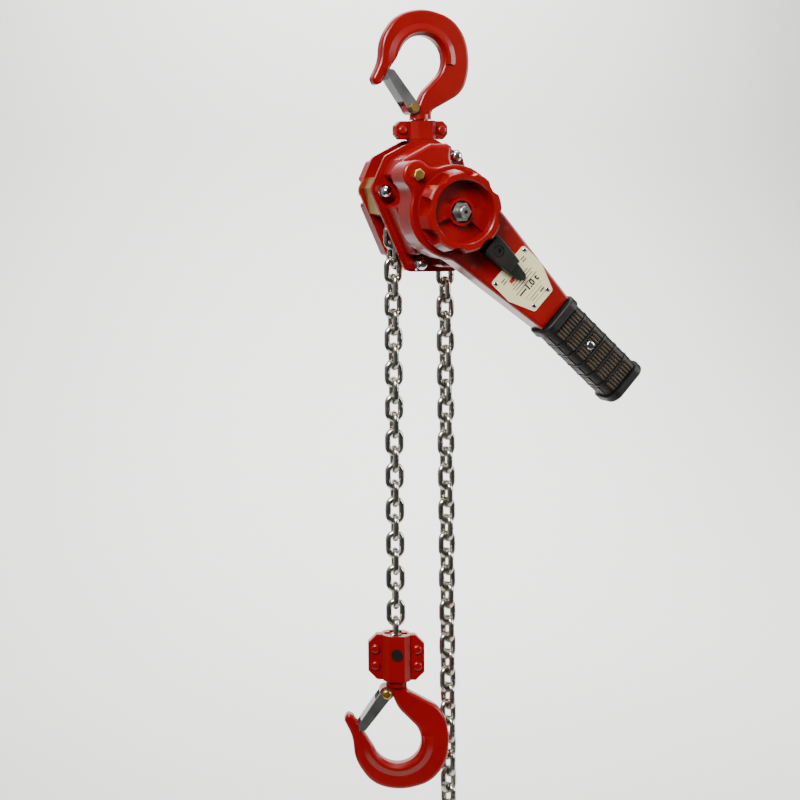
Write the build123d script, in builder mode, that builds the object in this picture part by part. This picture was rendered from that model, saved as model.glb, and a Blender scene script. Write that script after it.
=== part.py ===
from build123d import *
from math import acos, atan2, cos, degrees, hypot, pi, radians, sin, sqrt, tan
import os

os.makedirs("parts", exist_ok=True)

# Lever chain hoist, single fall, hanging from its top hook.
# Millimetres. Origin: centre of the top hook's bowl. +Z up, front (lever side) towards -Y.
# "depth" below is the distance in front of the chain's plane (Y = 0), so a rear piece has a negative depth.

# ---- load chain and sheave ---------------------------------------------------------------------
wire = 6.0                # link wire diameter
pitch = 18.0              # inner length of a link
link_width = 20.0         # outer width of a link
link_play = 0.08          # slack at each joint of the chain
pockets = 5               # flat-link pockets in the load sheave
rest_shift = 6.7          # how far the load fall hangs below the tangent point at rest
tail_offset = 29.9        # tail fall's distance from the sheave axis, held out by its guide
load_links = 26           # links of the load fall, the one in the bottom block included
tail_links = 36           # links of the tail fall
straight_links = 5        # links below the sheave that aren't twisted
load_twist = -20.0        # turn of the load fall about Z by its lower end, degrees
tail_twist = 18.0         # turn of the tail fall about Z by its lower end, degrees

# ---- frame ---------------------------------------------------------------------------------------
sheave_x = -3.0           # sheave axis, beside the hook axis
sheave_drop = 158.0       # sheave axis below the top hook's bowl centre
plate_gap = 28.0          # clear space between the side plates
plate_t = 4.0             # side plate thickness
flange_t = 2.0            # cover flange under the stay nuts
wall_t = 2.5              # pressed cover wall
stay_r = 4.0              # stay bolt radius
spacer_r = 5.5            # stay spacer outer radius
running = 0.06            # radial clearance of a running fit
fit_gap = 0.3             # gap between pieces that only lie beside each other
brake_depth = 50.5        # front face of the brake cover
gear_depth = 48.0         # rear face of the gear cover
notch_r = 14.0            # brake cover's notch around a stay nut
gear_notch_r = 11.0       # gear cover's notch around a stay nut
nut_flats = 13.0          # stay nut across flats
nut_h = 15.5              # stay nut height with its dome

# ---- top fitting and hooks -------------------------------------------------------------------
bowl_r = 25.0             # inner radius of a hook's bowl
shoulder = 62.0           # bowl centre to the shank's shoulder
shank_r = 10.7            # hook shank radius
neck_r = 8.2              # hook neck radius inside the fitting
collar_r = 11.2           # thrust collar radius
collar_h = 5.0            # thrust collar height
web_t = 14.0              # hook web thickness
bead_t = 19.0             # thickness of the bowl's inner bead
seat_land = 8.0           # flat land across the bowl's seat
shoulder_gap = 1.5        # shoulder to fitting
fitting_ear = 29.0        # fitting centre to the end of its ear
fitting_rivet = 22.0      # rivet distance from the fitting's centre
barrel_w = 28.0           # width across the fitting's barrel
barrel_half = 13.7        # barrel's reach in front of and behind its joint
ear_t = 5.0               # thickness of one half's ear
yoke_h = 19.0             # top fitting height
block_h = 48.0            # bottom block height
rivet_r = 3.0             # fitting rivet radius
rivet_head_r = 4.9        # fitting rivet head radius
top_pin_r = 5.0           # suspension pin radius
top_pin_above = 60.0      # suspension pin above the sheave axis
lug_half = 10.0           # half width of the yoke's lug

# ---- drive ---------------------------------------------------------------------------------------
shaft_r = 7.0             # drive shaft radius
shaft_end_r = 5.7         # drive shaft radius at its front end
shaft_front = 110.0       # depth of the shaft's front end
tooth_module = 1.5        # gear module
pinion_teeth = 10         # drive pinion and disc gear pinions
wheel_teeth = 26          # disc gears and load gear
backlash = 0.3            # gear backlash at the pitch circle
drum_r = 23.5             # seat of the flat links
groove_r = 17.5           # bottom of the standing links' groove
groove_half = 3.7         # half width of that groove
sheave_flange_r = 32.0    # sheave flange radius
journal_r = 15.0          # sheave journal radius
bearing_r = 19.0          # bearing outer radius
disc_r = 24.0             # friction surfaces' outer radius
hub_r = 11.0              # friction hub sleeve radius
ratchet_tip = 31.0        # brake ratchet tip radius
ratchet_root = 27.0       # brake ratchet root radius
ratchet_teeth = 12
change_hub_r = 13.5       # change gear hub radius
change_tip = 23.4         # change gear tip radius
change_root = 19.5        # change gear root radius
change_teeth = 12

# ---- lever ---------------------------------------------------------------------------------------
lever_angle = -43.3       # lever's direction from +X in the XZ plane, degrees
lever_back = 54.0         # depth of the head's rear face
arm_back = 62.0           # depth of the arm's rear face
lever_joint = 70.0        # depth of the joint between the shells
lever_face = 86.0         # depth of the lever's front face
head_r = 47.0             # lever head radius
lobe_at = 54.0            # head bolt's distance from the axis
lobe_r = 14.5             # lobe radius around the head bolt
arm_half = 40.0           # half width of the arm, carried back to the axis
arm_end_half = 21.5       # half width of the arm at the grip
arm_end = 152.0           # grip's start from the axis
tang_half = 17.5          # half width of the tang inside the grip
tang_end = 240.0          # tang's end from the axis
grip_end = 262.0          # grip's end from the axis
grip_w = 44.0             # grip width
grip_t = 32.0             # grip thickness
collar_w = 50.0           # grip collar width
collar_len = 9.0          # grip collar length
selector_at = 57.0        # selector shaft's distance from the axis
selector_reach = 42.0     # selector shaft to the knob's tip
pawl_spread = 30.0        # angle of each pawl nose from the lever's axis, degrees
pawl_reach = 32.6         # changeover pawl's reach from the selector shaft
plate_at = 77.0           # rating plate's start from the axis
plate_len = 55.0          # rating plate length
plate_half = 26.0         # rating plate half width

# ---- hand wheel ----------------------------------------------------------------------------------
wheel_back = 88.5         # depth of the wheel's rear face
wheel_r = 42.0            # skirt radius
wheel_rim_r = 39.5        # front rim radius
wheel_recess_r = 31.0     # recess radius
wheel_floor = 95.5        # depth of the recess floor
flutes = 8
flute_r = 12.0            # flute cutter radius
flute_depth = 4.2         # flute depth at the rim

# ---- worked out from the above -----------------------------------------------------------
sheave_z = -sheave_drop
plate_in = plate_gap / 2
plate_out = plate_in + plate_t
cover_base = plate_out + flange_t
link_step = pitch - link_play
line_offset = pockets * pitch / pi
link_inner_half = pitch / 2
end_wire = (pitch + wire) / 2
yoke_top = -shoulder - shoulder_gap
yoke_bottom = yoke_top - yoke_h
load_x = sheave_x - line_offset
tail_x = sheave_x + tail_offset
gear_pitch_r = tooth_module * wheel_teeth / 2
pinion_pitch_r = tooth_module * pinion_teeth / 2
gear_centres = gear_pitch_r + pinion_pitch_r

# stay bolts about the sheave axis: left, top right, bottom, right
stays = [(-48.0, 21.5), (29.0, 57.0), (-10.0, -53.0), (50.0, -21.0)]
# side plate corners about the sheave axis, clockwise from the left
plate_corners = [(-60, 24), (-44, 58), (-10, 75), (12, 75), (42, 57), (62, -20), (34, -62), (-22, -61)]
corner_r = 9.0            # side plate corner radius


def axle(depth):
    """The plane square to the sheave axis at this depth, x to the right and y up."""
    return Plane(origin=(sheave_x, -depth, sheave_z), x_dir=(1, 0, 0), z_dir=(0, -1, 0))


def lever_plane(depth):
    """The axle plane turned so that x runs along the lever towards its grip."""
    along = (cos(radians(lever_angle)), 0, sin(radians(lever_angle)))
    return Plane(origin=(sheave_x, -depth, sheave_z), x_dir=along, z_dir=(0, -1, 0))


def finish(part, name):
    """Label a finished piece and write it."""
    part.label = name
    export_step(part, f"parts/{name}.step")


def polar(radius, angle):
    """A point at this radius and angle in degrees."""
    return (radius * cos(radians(angle)), radius * sin(radians(angle)))


# ---- outlines -------------------------------------------------------------------------------------
def plate_outline(shrink):
    """The side plate's outline, drawn in by shrink."""
    with BuildSketch() as outline:
        with BuildLine():
            Polyline(*plate_corners, close=True)
        make_face()
        fillet(outline.vertices(), corner_r)
        if shrink > 0:
            offset(amount=-shrink, mode=Mode.REPLACE)
    return outline.sketch


def on_notch(corner, notch):
    """Whether a corner of a cover's outline lies on the notch around a stay nut."""
    return any(abs(hypot(corner.X - x, corner.Y - z) - notch) < 0.01 for x, z in stays)


def dome_outline(notch, shrink):
    """The pressed dome of a cover: the plate's outline drawn in and notched around each stay nut."""
    base = plate_outline(5.5)
    with BuildSketch() as outline:
        add(base)
        with Locations(*stays):
            Circle(notch, mode=Mode.SUBTRACT)
        fillet([corner for corner in outline.vertices() if on_notch(corner, notch)], 4.0)
        if shrink > 0:
            offset(amount=-shrink, mode=Mode.REPLACE)
    return outline.sketch


def head_outline(shrink):
    """The lever's round head with the lobe of its bolt."""
    with BuildSketch() as outline:
        Circle(head_r)
        with Locations((-lobe_at, 0)):
            Circle(lobe_r)
        fillet(outline.vertices(), 16.0)
        if shrink > 0:
            offset(amount=-shrink, mode=Mode.REPLACE)
    return outline.sketch


def lever_outline(shrink):
    """The head and the tapering arm, with a hollow curve where they meet."""
    head = head_outline(0)
    with BuildSketch() as outline:
        add(head)
        with BuildLine():
            Polyline((0, -arm_half), (arm_end, -arm_end_half), (arm_end, arm_end_half), (0, arm_half), close=True)
        make_face()
        waist = outline.vertices().filter_by_position(Axis.X, 5, 60)
        fillet(waist, 22.0)
        if shrink > 0:
            offset(amount=-shrink, mode=Mode.REPLACE)
    return outline.sketch


def spur_outline(teeth, turn):
    """A stub-tooth involute gear with one tooth centred at turn degrees."""
    pressure = radians(25)
    pitch_r = tooth_module * teeth / 2
    base_r = pitch_r * cos(pressure)
    root_r = pitch_r - tooth_module
    tip_r = pitch_r + 0.8 * tooth_module
    half_pitch = pi / (2 * teeth) - backlash / (4 * pitch_r)
    points = []
    for tooth in range(teeth):
        centre = radians(turn) + 2 * pi * tooth / teeth
        flank = []
        for radius in (root_r, max(base_r, root_r + 0.1), pitch_r, (pitch_r + tip_r) / 2, tip_r):
            roll = acos(min(1.0, base_r / radius))
            half = half_pitch + (tan(pressure) - pressure) - (tan(roll) - roll)
            flank.append((radius, half))
        for radius, half in flank:
            points.append((radius * cos(centre - half), radius * sin(centre - half)))
        for radius, half in reversed(flank):
            points.append((radius * cos(centre + half), radius * sin(centre + half)))
    with BuildSketch() as gear:
        with BuildLine():
            Polyline(*points, close=True)
        make_face()
    return gear.sketch


def saw_outline(teeth, root_r, tip_r, turn):
    """A saw-tooth ratchet: a steep face at each tooth, then a long back."""
    points = []
    for tooth in range(teeth):
        start = turn + 360 * tooth / teeth
        points.append(polar(tip_r, start))
        points.append(polar(root_r, start + 3))
    with BuildSketch() as ratchet:
        with BuildLine():
            Polyline(*points, close=True)
        make_face()
    return ratchet.sketch


# ---- chain ----------------------------------------------------------------------------------------
def make_link():
    """One link standing in the XZ plane, centred at the origin."""
    bend_r = (link_width - wire) / 2
    leg = end_wire - bend_r
    with BuildPart() as link:
        with BuildLine(Plane.XZ) as path:
            Line((-bend_r, -leg), (-bend_r, leg))
            ThreePointArc((-bend_r, leg), (0, end_wire), (bend_r, leg))
            Line((bend_r, leg), (bend_r, -leg))
            ThreePointArc((bend_r, -leg), (0, -end_wire), (-bend_r, -leg))
        with BuildSketch(Plane(origin=(-bend_r, 0, 0), z_dir=(0, 0, 1))):
            Circle(wire / 2)
        sweep(path=path.wires()[0])
    return link.part


def fall_places(x, first_z, count, twist):
    """Places of a fall's links from the top down: even links lie across, odd ones stand."""
    places = []
    for number in range(count):
        share = max(0, number - straight_links) / (count - 1 - straight_links)
        quarter = 90 if number % 2 == 0 else 0
        z = first_z - link_step * number
        places.append(Location((x, 0, z), (0, 0, quarter + twist * share)))
    return places


link = make_link()
load_places = fall_places(load_x, sheave_z - rest_shift + 0.2, load_links, load_twist)
tail_places = fall_places(tail_x, sheave_z - (pitch - rest_shift) + 0.8, tail_links, tail_twist)

# links on the sheave: a polygon of flat links' long chords and standing links' short ones
long_chord = pitch + wire
short_chord = pitch - wire - 2 * link_play
joint_r = sqrt(long_chord**2 + short_chord**2 + 2 * long_chord * short_chord * cos(pi / pockets))
joint_r = joint_r / (2 * sin(pi / pockets))
flat_r = sqrt(joint_r**2 - (long_chord / 2) ** 2)
standing_r = sqrt(joint_r**2 - (short_chord / 2) ** 2)
rest_turn = degrees(rest_shift / line_offset)
wrap_places = []
for number in range(pockets):
    angle = 180 + rest_turn - 180 / pockets * (number + 1)
    flat = number % 2 == 1
    radius = flat_r if flat else standing_r
    x, z = polar(radius, angle)
    tangent = Location((sheave_x + x, 0, sheave_z + z), (0, -angle, 0))
    wrap_places.append(tangent * Location((0, 0, 0), (0, 0, 90 if flat else 0)))

with BuildPart() as load_chain_top:
    with Locations(*load_places[:10]):
        add(link)
finish(load_chain_top.part, "load_chain_top")

with BuildPart() as load_chain_middle:
    with Locations(*load_places[10:18]):
        add(link)
finish(load_chain_middle.part, "load_chain_middle")

with BuildPart() as load_chain_bottom:
    with Locations(*load_places[18:]):
        add(link)
finish(load_chain_bottom.part, "load_chain_bottom")

with BuildPart() as sheave_chain:
    with Locations(*wrap_places):
        add(link)
finish(sheave_chain.part, "sheave_chain")

half_tail = tail_links // 2
with BuildPart() as tail_chain_top:
    with Locations(*tail_places[:half_tail]):
        add(link)
finish(tail_chain_top.part, "tail_chain_top")

with BuildPart() as tail_chain_bottom:
    with Locations(*tail_places[half_tail:]):
        add(link)
finish(tail_chain_bottom.part, "tail_chain_bottom")

end_ring_r = 14.0         # end ring, to the middle of its wire
ring_top = tail_places[-1].position.Z - (link_inner_half - wire / 2 - link_play)
ring_turn = Location((tail_x, 0, ring_top - end_ring_r), (0, 0, 90 + tail_twist))
with BuildPart() as tail_end_ring:
    with BuildLine(Plane.XZ) as ring_path:
        CenterArc((0, 0), end_ring_r, 0, 360)
    with BuildSketch(Plane(origin=(end_ring_r, 0, 0), z_dir=(0, 0, 1))):
        Circle(wire / 2)
    sweep(path=ring_path.wires()[0])
finish(tail_end_ring.part.moved(ring_turn), "tail_end_ring")


# ---- side plates and what joins them --------------------------------------------------------
def make_plate(depth, pin_places, pin_r):
    """A side plate whose rear face is at this depth, with holes for the pins it carries."""
    outline = plate_outline(0)
    with BuildPart() as plate:
        with BuildSketch(axle(depth)):
            add(outline)
            with Locations(*stays):
                Circle(stay_r, mode=Mode.SUBTRACT)
            Circle(bearing_r, mode=Mode.SUBTRACT)
            with Locations((-sheave_x, top_pin_above)):
                Circle(top_pin_r + running, mode=Mode.SUBTRACT)
            with Locations(*pin_places):
                Circle(pin_r, mode=Mode.SUBTRACT)
        extrude(amount=plate_t)
    return plate.part


def make_nut(depth, outward):
    """A cap nut against a cover flange, its dome pointing outward (1 front, -1 rear)."""
    hex_h = nut_h * 0.5
    with BuildPart() as nut:
        for place in stays:
            with BuildSketch(axle(depth)):
                with Locations(place):
                    RegularPolygon(nut_flats / 2, 6, major_radius=False)
            extrude(amount=outward * hex_h)
            with BuildSketch(axle(depth + outward * hex_h)):
                with Locations(place):
                    Circle(nut_flats / 2 - 0.6)
            extrude(amount=outward * (nut_h - hex_h))
        tops = nut.faces().filter_by(Axis.Y).group_by(Axis.Y)
        dome = tops[0] if outward > 0 else tops[-1]
        fillet(dome.edges(), nut_flats / 2 - 1.4)
        for place in stays:
            with BuildSketch(axle(depth)):
                with Locations(place):
                    Circle(stay_r)
            extrude(amount=outward * (hex_h + 2), mode=Mode.SUBTRACT)
    return nut.part


disc_pin_r = 3.5          # disc gear pin radius
disc_angle = 115.0        # direction of the upper disc gear from the sheave axis, degrees
disc_places = [polar(gear_centres, disc_angle), polar(gear_centres, disc_angle + 180)]
pawl_pin_r = 3.0          # brake pawl pin radius
pawl_places = [(-20.0, 40.0), (28.0, -36.0)]

front_side_plate = make_plate(plate_in, pawl_places, pawl_pin_r)
finish(front_side_plate, "front_side_plate")
rear_side_plate = make_plate(-plate_out, disc_places, disc_pin_r)
finish(rear_side_plate, "rear_side_plate")

stay_end = cover_base + nut_h * 0.5 + 1.5
with BuildPart() as stay_bolts:
    with BuildSketch(axle(-stay_end)):
        with Locations(*stays):
            Circle(stay_r)
    extrude(amount=2 * stay_end)
finish(stay_bolts.part, "stay_bolts")

with BuildPart() as stay_spacers:
    with BuildSketch(axle(-plate_in)):
        with Locations(*stays):
            Circle(spacer_r)
            Circle(stay_r, mode=Mode.SUBTRACT)
    extrude(amount=plate_gap)
finish(stay_spacers.part, "stay_spacers")

finish(make_nut(cover_base, 1), "front_cap_nuts")
finish(make_nut(-cover_base, -1), "rear_cap_nuts")

pin_head_h = 2.5          # suspension pin head height
with BuildPart() as top_pin:
    with BuildSketch(axle(-plate_out - pin_head_h)):
        with Locations((-sheave_x, top_pin_above)):
            Circle(top_pin_r)
    extrude(amount=2 * (plate_out + pin_head_h))
    for depth in (-plate_out - pin_head_h, plate_out):
        with BuildSketch(axle(depth)):
            with Locations((-sheave_x, top_pin_above)):
                Circle(top_pin_r + 1.5)
        extrude(amount=pin_head_h)
finish(top_pin.part, "top_pin")

# chain guide: a cast bar behind the left stay that keeps the load fall in its pockets
guide_half = plate_in - fit_gap
left_x, left_z = stays[0]
guide_inner = -(line_offset + link_width / 2 + 1.8)
with BuildPart() as chain_guide:
    with BuildSketch(axle(-guide_half)):
        with BuildLine():
            Polyline(
                (left_x - 8.5, left_z + 4),
                (left_x - 3, left_z + 15),
                (guide_inner, left_z + 15),
                (guide_inner, left_z - 26),
                (left_x - 0.5, left_z - 22),
                close=True,
            )
        make_face()
        with Locations((left_x, left_z)):
            Circle(spacer_r + running, mode=Mode.SUBTRACT)
    extrude(amount=2 * guide_half)
finish(chain_guide.part, "chain_guide")

# chain stripper: a finger on the bottom stay, reaching into the sheave's groove
bottom_x, bottom_z = stays[2]
stripper_half = groove_half - 0.9
with BuildPart() as chain_stripper:
    with BuildSketch(axle(-guide_half)):
        with Locations((bottom_x, bottom_z)):
            Circle(spacer_r + 3)
            Circle(spacer_r + running, mode=Mode.SUBTRACT)
    extrude(amount=2 * guide_half)
    with BuildSketch(axle(-stripper_half)):
        with BuildLine():
            Polyline(
                (bottom_x - 3, bottom_z + 7.5),
                (-4, -groove_r - 2.5),
                (4, -groove_r - 2.5),
                (bottom_x + 7, bottom_z + 4),
                close=True,
            )
        make_face()
        with Locations((bottom_x, bottom_z)):
            Circle(spacer_r + running, mode=Mode.SUBTRACT)
    extrude(amount=2 * stripper_half)
finish(chain_stripper.part, "chain_stripper")


# ---- sheave, its bearings and the gears ----------------------------------------------------
def ring(depth_from, depth_to, outer, inner):
    """A plain ring about the sheave axis between two depths."""
    with BuildPart() as piece:
        with BuildSketch(axle(depth_from)):
            Circle(outer)
            if inner > 0:
                Circle(inner, mode=Mode.SUBTRACT)
        extrude(amount=depth_to - depth_from)
    return piece.part


def turned(radius, depth_from, depth_to, mode=Mode.ADD):
    """Add or cut a plain round about the sheave axis in the piece being built."""
    low = min(depth_from, depth_to)
    add(Solid.make_cylinder(radius, abs(depth_to - depth_from), axle(low)), mode=mode)


bore_r = journal_r + running
finish(ring(plate_in, plate_out, bearing_r, bore_r), "front_bearing")
finish(ring(-plate_out, -plate_in, bearing_r, bore_r), "rear_bearing")

sheave_half = plate_in - 1.0
pocket_half = link_width / 2 + 0.8
load_gear_front = -23.0   # depth of the load gear's front face
load_gear_t = 7.0         # load gear thickness
load_gear_r = 13.0        # seat of the load gear
with BuildPart() as load_sheave:
    turned(groove_r, -sheave_half, sheave_half)
    for side in (-1, 1):
        turned(drum_r, side * groove_half, side * pocket_half)
        turned(sheave_flange_r, side * pocket_half, side * sheave_half)
        for pocket in range(pockets):
            tooth = Location((0, 0), rest_turn + 360 / pockets * pocket)
            with BuildSketch(axle(side * (groove_half + 0.8))):
                with Locations(tooth):
                    with Locations((25.5, 0)):
                        Trapezoid(4.6, 9.0, 86, 86, rotation=-90)
            extrude(amount=side * (pocket_half - groove_half - 0.8))
    turned(journal_r, sheave_half, plate_out + 3)
    turned(journal_r, load_gear_front, -sheave_half)
    turned(load_gear_r, load_gear_front - load_gear_t - 0.5, load_gear_front)
    turned(shaft_r + running, -40, 30, Mode.SUBTRACT)
finish(load_sheave.part, "load_sheave")

load_gear_outline = spur_outline(wheel_teeth, disc_angle)
with BuildPart() as load_gear:
    with BuildSketch(axle(load_gear_front)):
        add(load_gear_outline)
        Circle(load_gear_r, mode=Mode.SUBTRACT)
    extrude(amount=-load_gear_t)
finish(load_gear.part, "load_gear")

disc_front = -33.0        # depth of the disc gears' front face
disc_t = 5.0              # disc gear thickness


def make_disc_gear(place, facing):
    """A disc gear with its pinion; facing is the direction of the sheave axis from it, degrees."""
    wheel = spur_outline(wheel_teeth, facing + 180 / wheel_teeth)
    small = spur_outline(pinion_teeth, facing + 180 / pinion_teeth)
    with BuildPart() as gear:
        with BuildSketch(axle(disc_front)):
            with Locations(place):
                add(wheel)
        extrude(amount=-disc_t)
        with BuildSketch(axle(-plate_out - 0.5)):
            with Locations(place):
                add(small)
        extrude(amount=disc_front + plate_out + 0.5)
        with BuildSketch(axle(-plate_out)):
            with Locations(place):
                Circle(disc_pin_r + running)
        extrude(amount=-30, mode=Mode.SUBTRACT)
    return gear.part


finish(make_disc_gear(disc_places[0], disc_angle + 180), "upper_disc_gear")
finish(make_disc_gear(disc_places[1], disc_angle), "lower_disc_gear")

gear_inside = gear_depth - wall_t
with BuildPart() as disc_gear_pins:
    with BuildSketch(axle(-plate_in)):
        with Locations(*disc_places):
            Circle(disc_pin_r)
    extrude(amount=plate_in - gear_inside)
finish(disc_gear_pins.part, "disc_gear_pins")

bush_r = 8.0              # rear bush outer radius
shaft_tail_r = 5.0        # drive shaft radius behind its pinion
bush_front = -39.8        # depth of the rear bush's front face
finish(ring(-gear_inside, bush_front, bush_r, shaft_tail_r + running), "shaft_bush")

pinion_front = -32.5      # depth of the drive pinion's front face
pinion_back = -39.0       # depth of the drive pinion's rear face
nut_seat = 95.5           # depth of the shaft nut's seat on the hand wheel
pinion_outline = spur_outline(pinion_teeth, disc_angle)
with BuildPart() as drive_shaft:
    turned(shaft_r, pinion_front + 1, nut_seat)
    turned(shaft_r - 1, pinion_front, pinion_front + 1)
    with BuildSketch(axle(pinion_back)):
        add(pinion_outline)
    extrude(amount=pinion_front - pinion_back)
    turned(shaft_tail_r, -44.8, pinion_back)
    turned(shaft_end_r, nut_seat, shaft_front)
    chamfer(drive_shaft.edges().group_by(Axis.Y)[0], 0.8)
    turned(1.8, shaft_front - 6, shaft_front, Mode.SUBTRACT)
finish(drive_shaft.part, "drive_shaft")

# ---- load brake -----------------------------------------------------------------------------------
hub_back = 22.0           # depth of the friction hub's rear face
hub_front = 26.0          # depth of its flange's front face
ratchet_back = 29.0       # depth of the brake ratchet's rear face
ratchet_front = 33.0      # depth of the brake ratchet's front face
change_back = 36.0        # depth of the change gear's disc
change_disc_front = 39.0
change_front = 88.0       # depth of the change gear's front end
change_teeth_back = 66.0
change_teeth_front = 74.0

with BuildPart() as friction_hub:
    turned(disc_r, hub_back, hub_front)
    turned(hub_r, hub_front, change_back)
    turned(shaft_r, hub_back, change_back, Mode.SUBTRACT)
finish(friction_hub.part, "friction_hub")

with BuildPart() as friction_plates:
    add(ring(hub_front, ratchet_back - running, disc_r, hub_r))
    add(ring(ratchet_front + running, change_back, disc_r, hub_r))
finish(friction_plates.part, "friction_plates")


def ratchet_start(place):
    """Angle of the tooth tip that the pawl pivoting at this place holds."""
    return degrees(atan2(place[1], place[0])) - 44.8


start_a = ratchet_start(pawl_places[0])
start_b = ratchet_start(pawl_places[1])
# both pawls hold: the second is set to the nearest tooth of the same ratchet
tooth_step = 360 / ratchet_teeth
start_b = start_a + tooth_step * round((start_b - start_a) / tooth_step)

ratchet_outline = saw_outline(ratchet_teeth, ratchet_root, ratchet_tip, start_a)
with BuildPart() as ratchet_disc:
    with BuildSketch(axle(ratchet_back)):
        add(ratchet_outline)
        Circle(hub_r + running, mode=Mode.SUBTRACT)
    extrude(amount=ratchet_front - ratchet_back)
finish(ratchet_disc.part, "ratchet_disc")


def make_brake_pawl(place, start):
    """A brake pawl: pivot eye and a nose that stands against the ratchet tooth at this angle."""
    nose = polar(ratchet_root + 0.6, start + 4.4)
    along = (place[0] - nose[0], place[1] - nose[1])
    length = sqrt(along[0] ** 2 + along[1] ** 2)
    outward = (along[1] / length, -along[0] / length)
    if outward[0] * place[0] + outward[1] * place[1] < 0:
        outward = (-outward[0], -outward[1])
    with BuildSketch() as shape:
        with BuildLine():
            Polyline(
                nose,
                polar(ratchet_tip + 0.6, start + 1.5),
                (place[0] + 4.6 * outward[0], place[1] + 4.6 * outward[1]),
                (place[0] - 4.6 * outward[0], place[1] - 4.6 * outward[1]),
                polar(ratchet_tip + 2.4, start + 28),
                polar(ratchet_tip - 0.7, start + 14),
                close=True,
            )
        make_face()
        with Locations(place):
            Circle(5.5)
            Circle(pawl_pin_r + running, mode=Mode.SUBTRACT)
    with BuildPart() as pawl:
        with BuildSketch(axle(ratchet_back + 0.5)):
            add(shape.sketch)
        extrude(amount=ratchet_front - ratchet_back - 1)
    return pawl.part


finish(make_brake_pawl(pawl_places[0], start_a), "brake_pawl_a")
finish(make_brake_pawl(pawl_places[1], start_b), "brake_pawl_b")

with BuildPart() as pawl_pins:
    with BuildSketch(axle(plate_in)):
        with Locations(*pawl_places):
            Circle(pawl_pin_r)
    extrude(amount=ratchet_front + 1.5 - plate_in)
    with BuildSketch(axle(plate_out)):
        with Locations(*pawl_places):
            Circle(pawl_pin_r + 1.8)
    extrude(amount=ratchet_back + 0.4 - plate_out)
    with BuildSketch(axle(ratchet_front - 0.3)):
        with Locations(*pawl_places):
            Circle(pawl_pin_r + 1.5)
    extrude(amount=1.8)
finish(pawl_pins.part, "pawl_pins")

with BuildPart() as change_gear:
    turned(disc_r, change_back, change_disc_front)
    turned(change_hub_r, change_disc_front, change_front)
    with BuildSketch(axle(change_teeth_back)):
        Circle(change_root)
        with PolarLocations(change_root, change_teeth):
            Trapezoid(8.0, 2 * (change_tip - change_root), 72, 72, rotation=-90)
    extrude(amount=change_teeth_front - change_teeth_back)
    turned(shaft_r, change_back, change_front, Mode.SUBTRACT)
finish(change_gear.part, "change_gear")


# ---- covers ---------------------------------------------------------------------------------------
def make_cover(side, end_depth, notch, opening):
    """A pressed cover on one side plate: flange, dome and an opening in its outer face."""
    dome_h = end_depth - plate_out
    flange = plate_outline(2.5)
    dome = dome_outline(notch, 0)
    hollow = dome_outline(notch, wall_t)
    with BuildPart() as cover:
        with BuildSketch(axle(side * plate_out)):
            add(dome)
        extrude(amount=side * dome_h)
        ends = cover.faces().filter_by(Axis.Y).group_by(Axis.Y)
        outer_face = ends[0] if side > 0 else ends[-1]
        fillet(outer_face.edges(), 5.0)
        with BuildSketch(axle(side * plate_out)):
            add(flange)
        extrude(amount=side * flange_t)
        with BuildSketch(axle(side * plate_out)):
            add(hollow)
        extrude(amount=side * (dome_h - wall_t), mode=Mode.SUBTRACT)
        with BuildSketch(axle(side * plate_out)):
            with Locations(*stays):
                Circle(stay_r)
        extrude(amount=side * flange_t, mode=Mode.SUBTRACT)
        if opening > 0:
            with BuildSketch(axle(side * end_depth)):
                Circle(opening)
            extrude(amount=-side * wall_t, mode=Mode.SUBTRACT)
    return cover.part


finish(make_cover(1, brake_depth, notch_r, change_hub_r + 3.5), "brake_cover")
finish(make_cover(-1, gear_depth, gear_notch_r, 0), "gear_cover")


# ---- hooks ----------------------------------------------------------------------------------------
latch_pivot = (-10.5, 49.7)
latch_tip = (-38.2, 11.0)
latch_screw_r = 2.5       # latch screw radius
boss_half = 7.9           # half width of the latch's boss on the hook
ear_in = 8.2              # inner face of a latch ear from the hook's middle plane
latch_t = 1.5             # latch sheet thickness


# corners of the hook's outline and the bend at each, from the shank round the back to the point,
# then the one in the throat
hook_bends = [
    (10.7, 53, 7),
    (47, 34, 30),
    (54.5, 8, 66),
    (51.5, -22, 47),
    (35, -44, 40),
    (4, -53.5, 58),
    (-26, -48, 35),
    (-44, -22, 42),
    (-45.8, 2, 40),
    (-55, 20, 5),
    (-51, 27.5, 3.6),
    (-44.5, 24.5, 3.6),
    (1.5, 33.4, 30),
]
bowl_from = 201.5         # the bowl's round, in degrees from +x
bowl_to = 45.7


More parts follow.
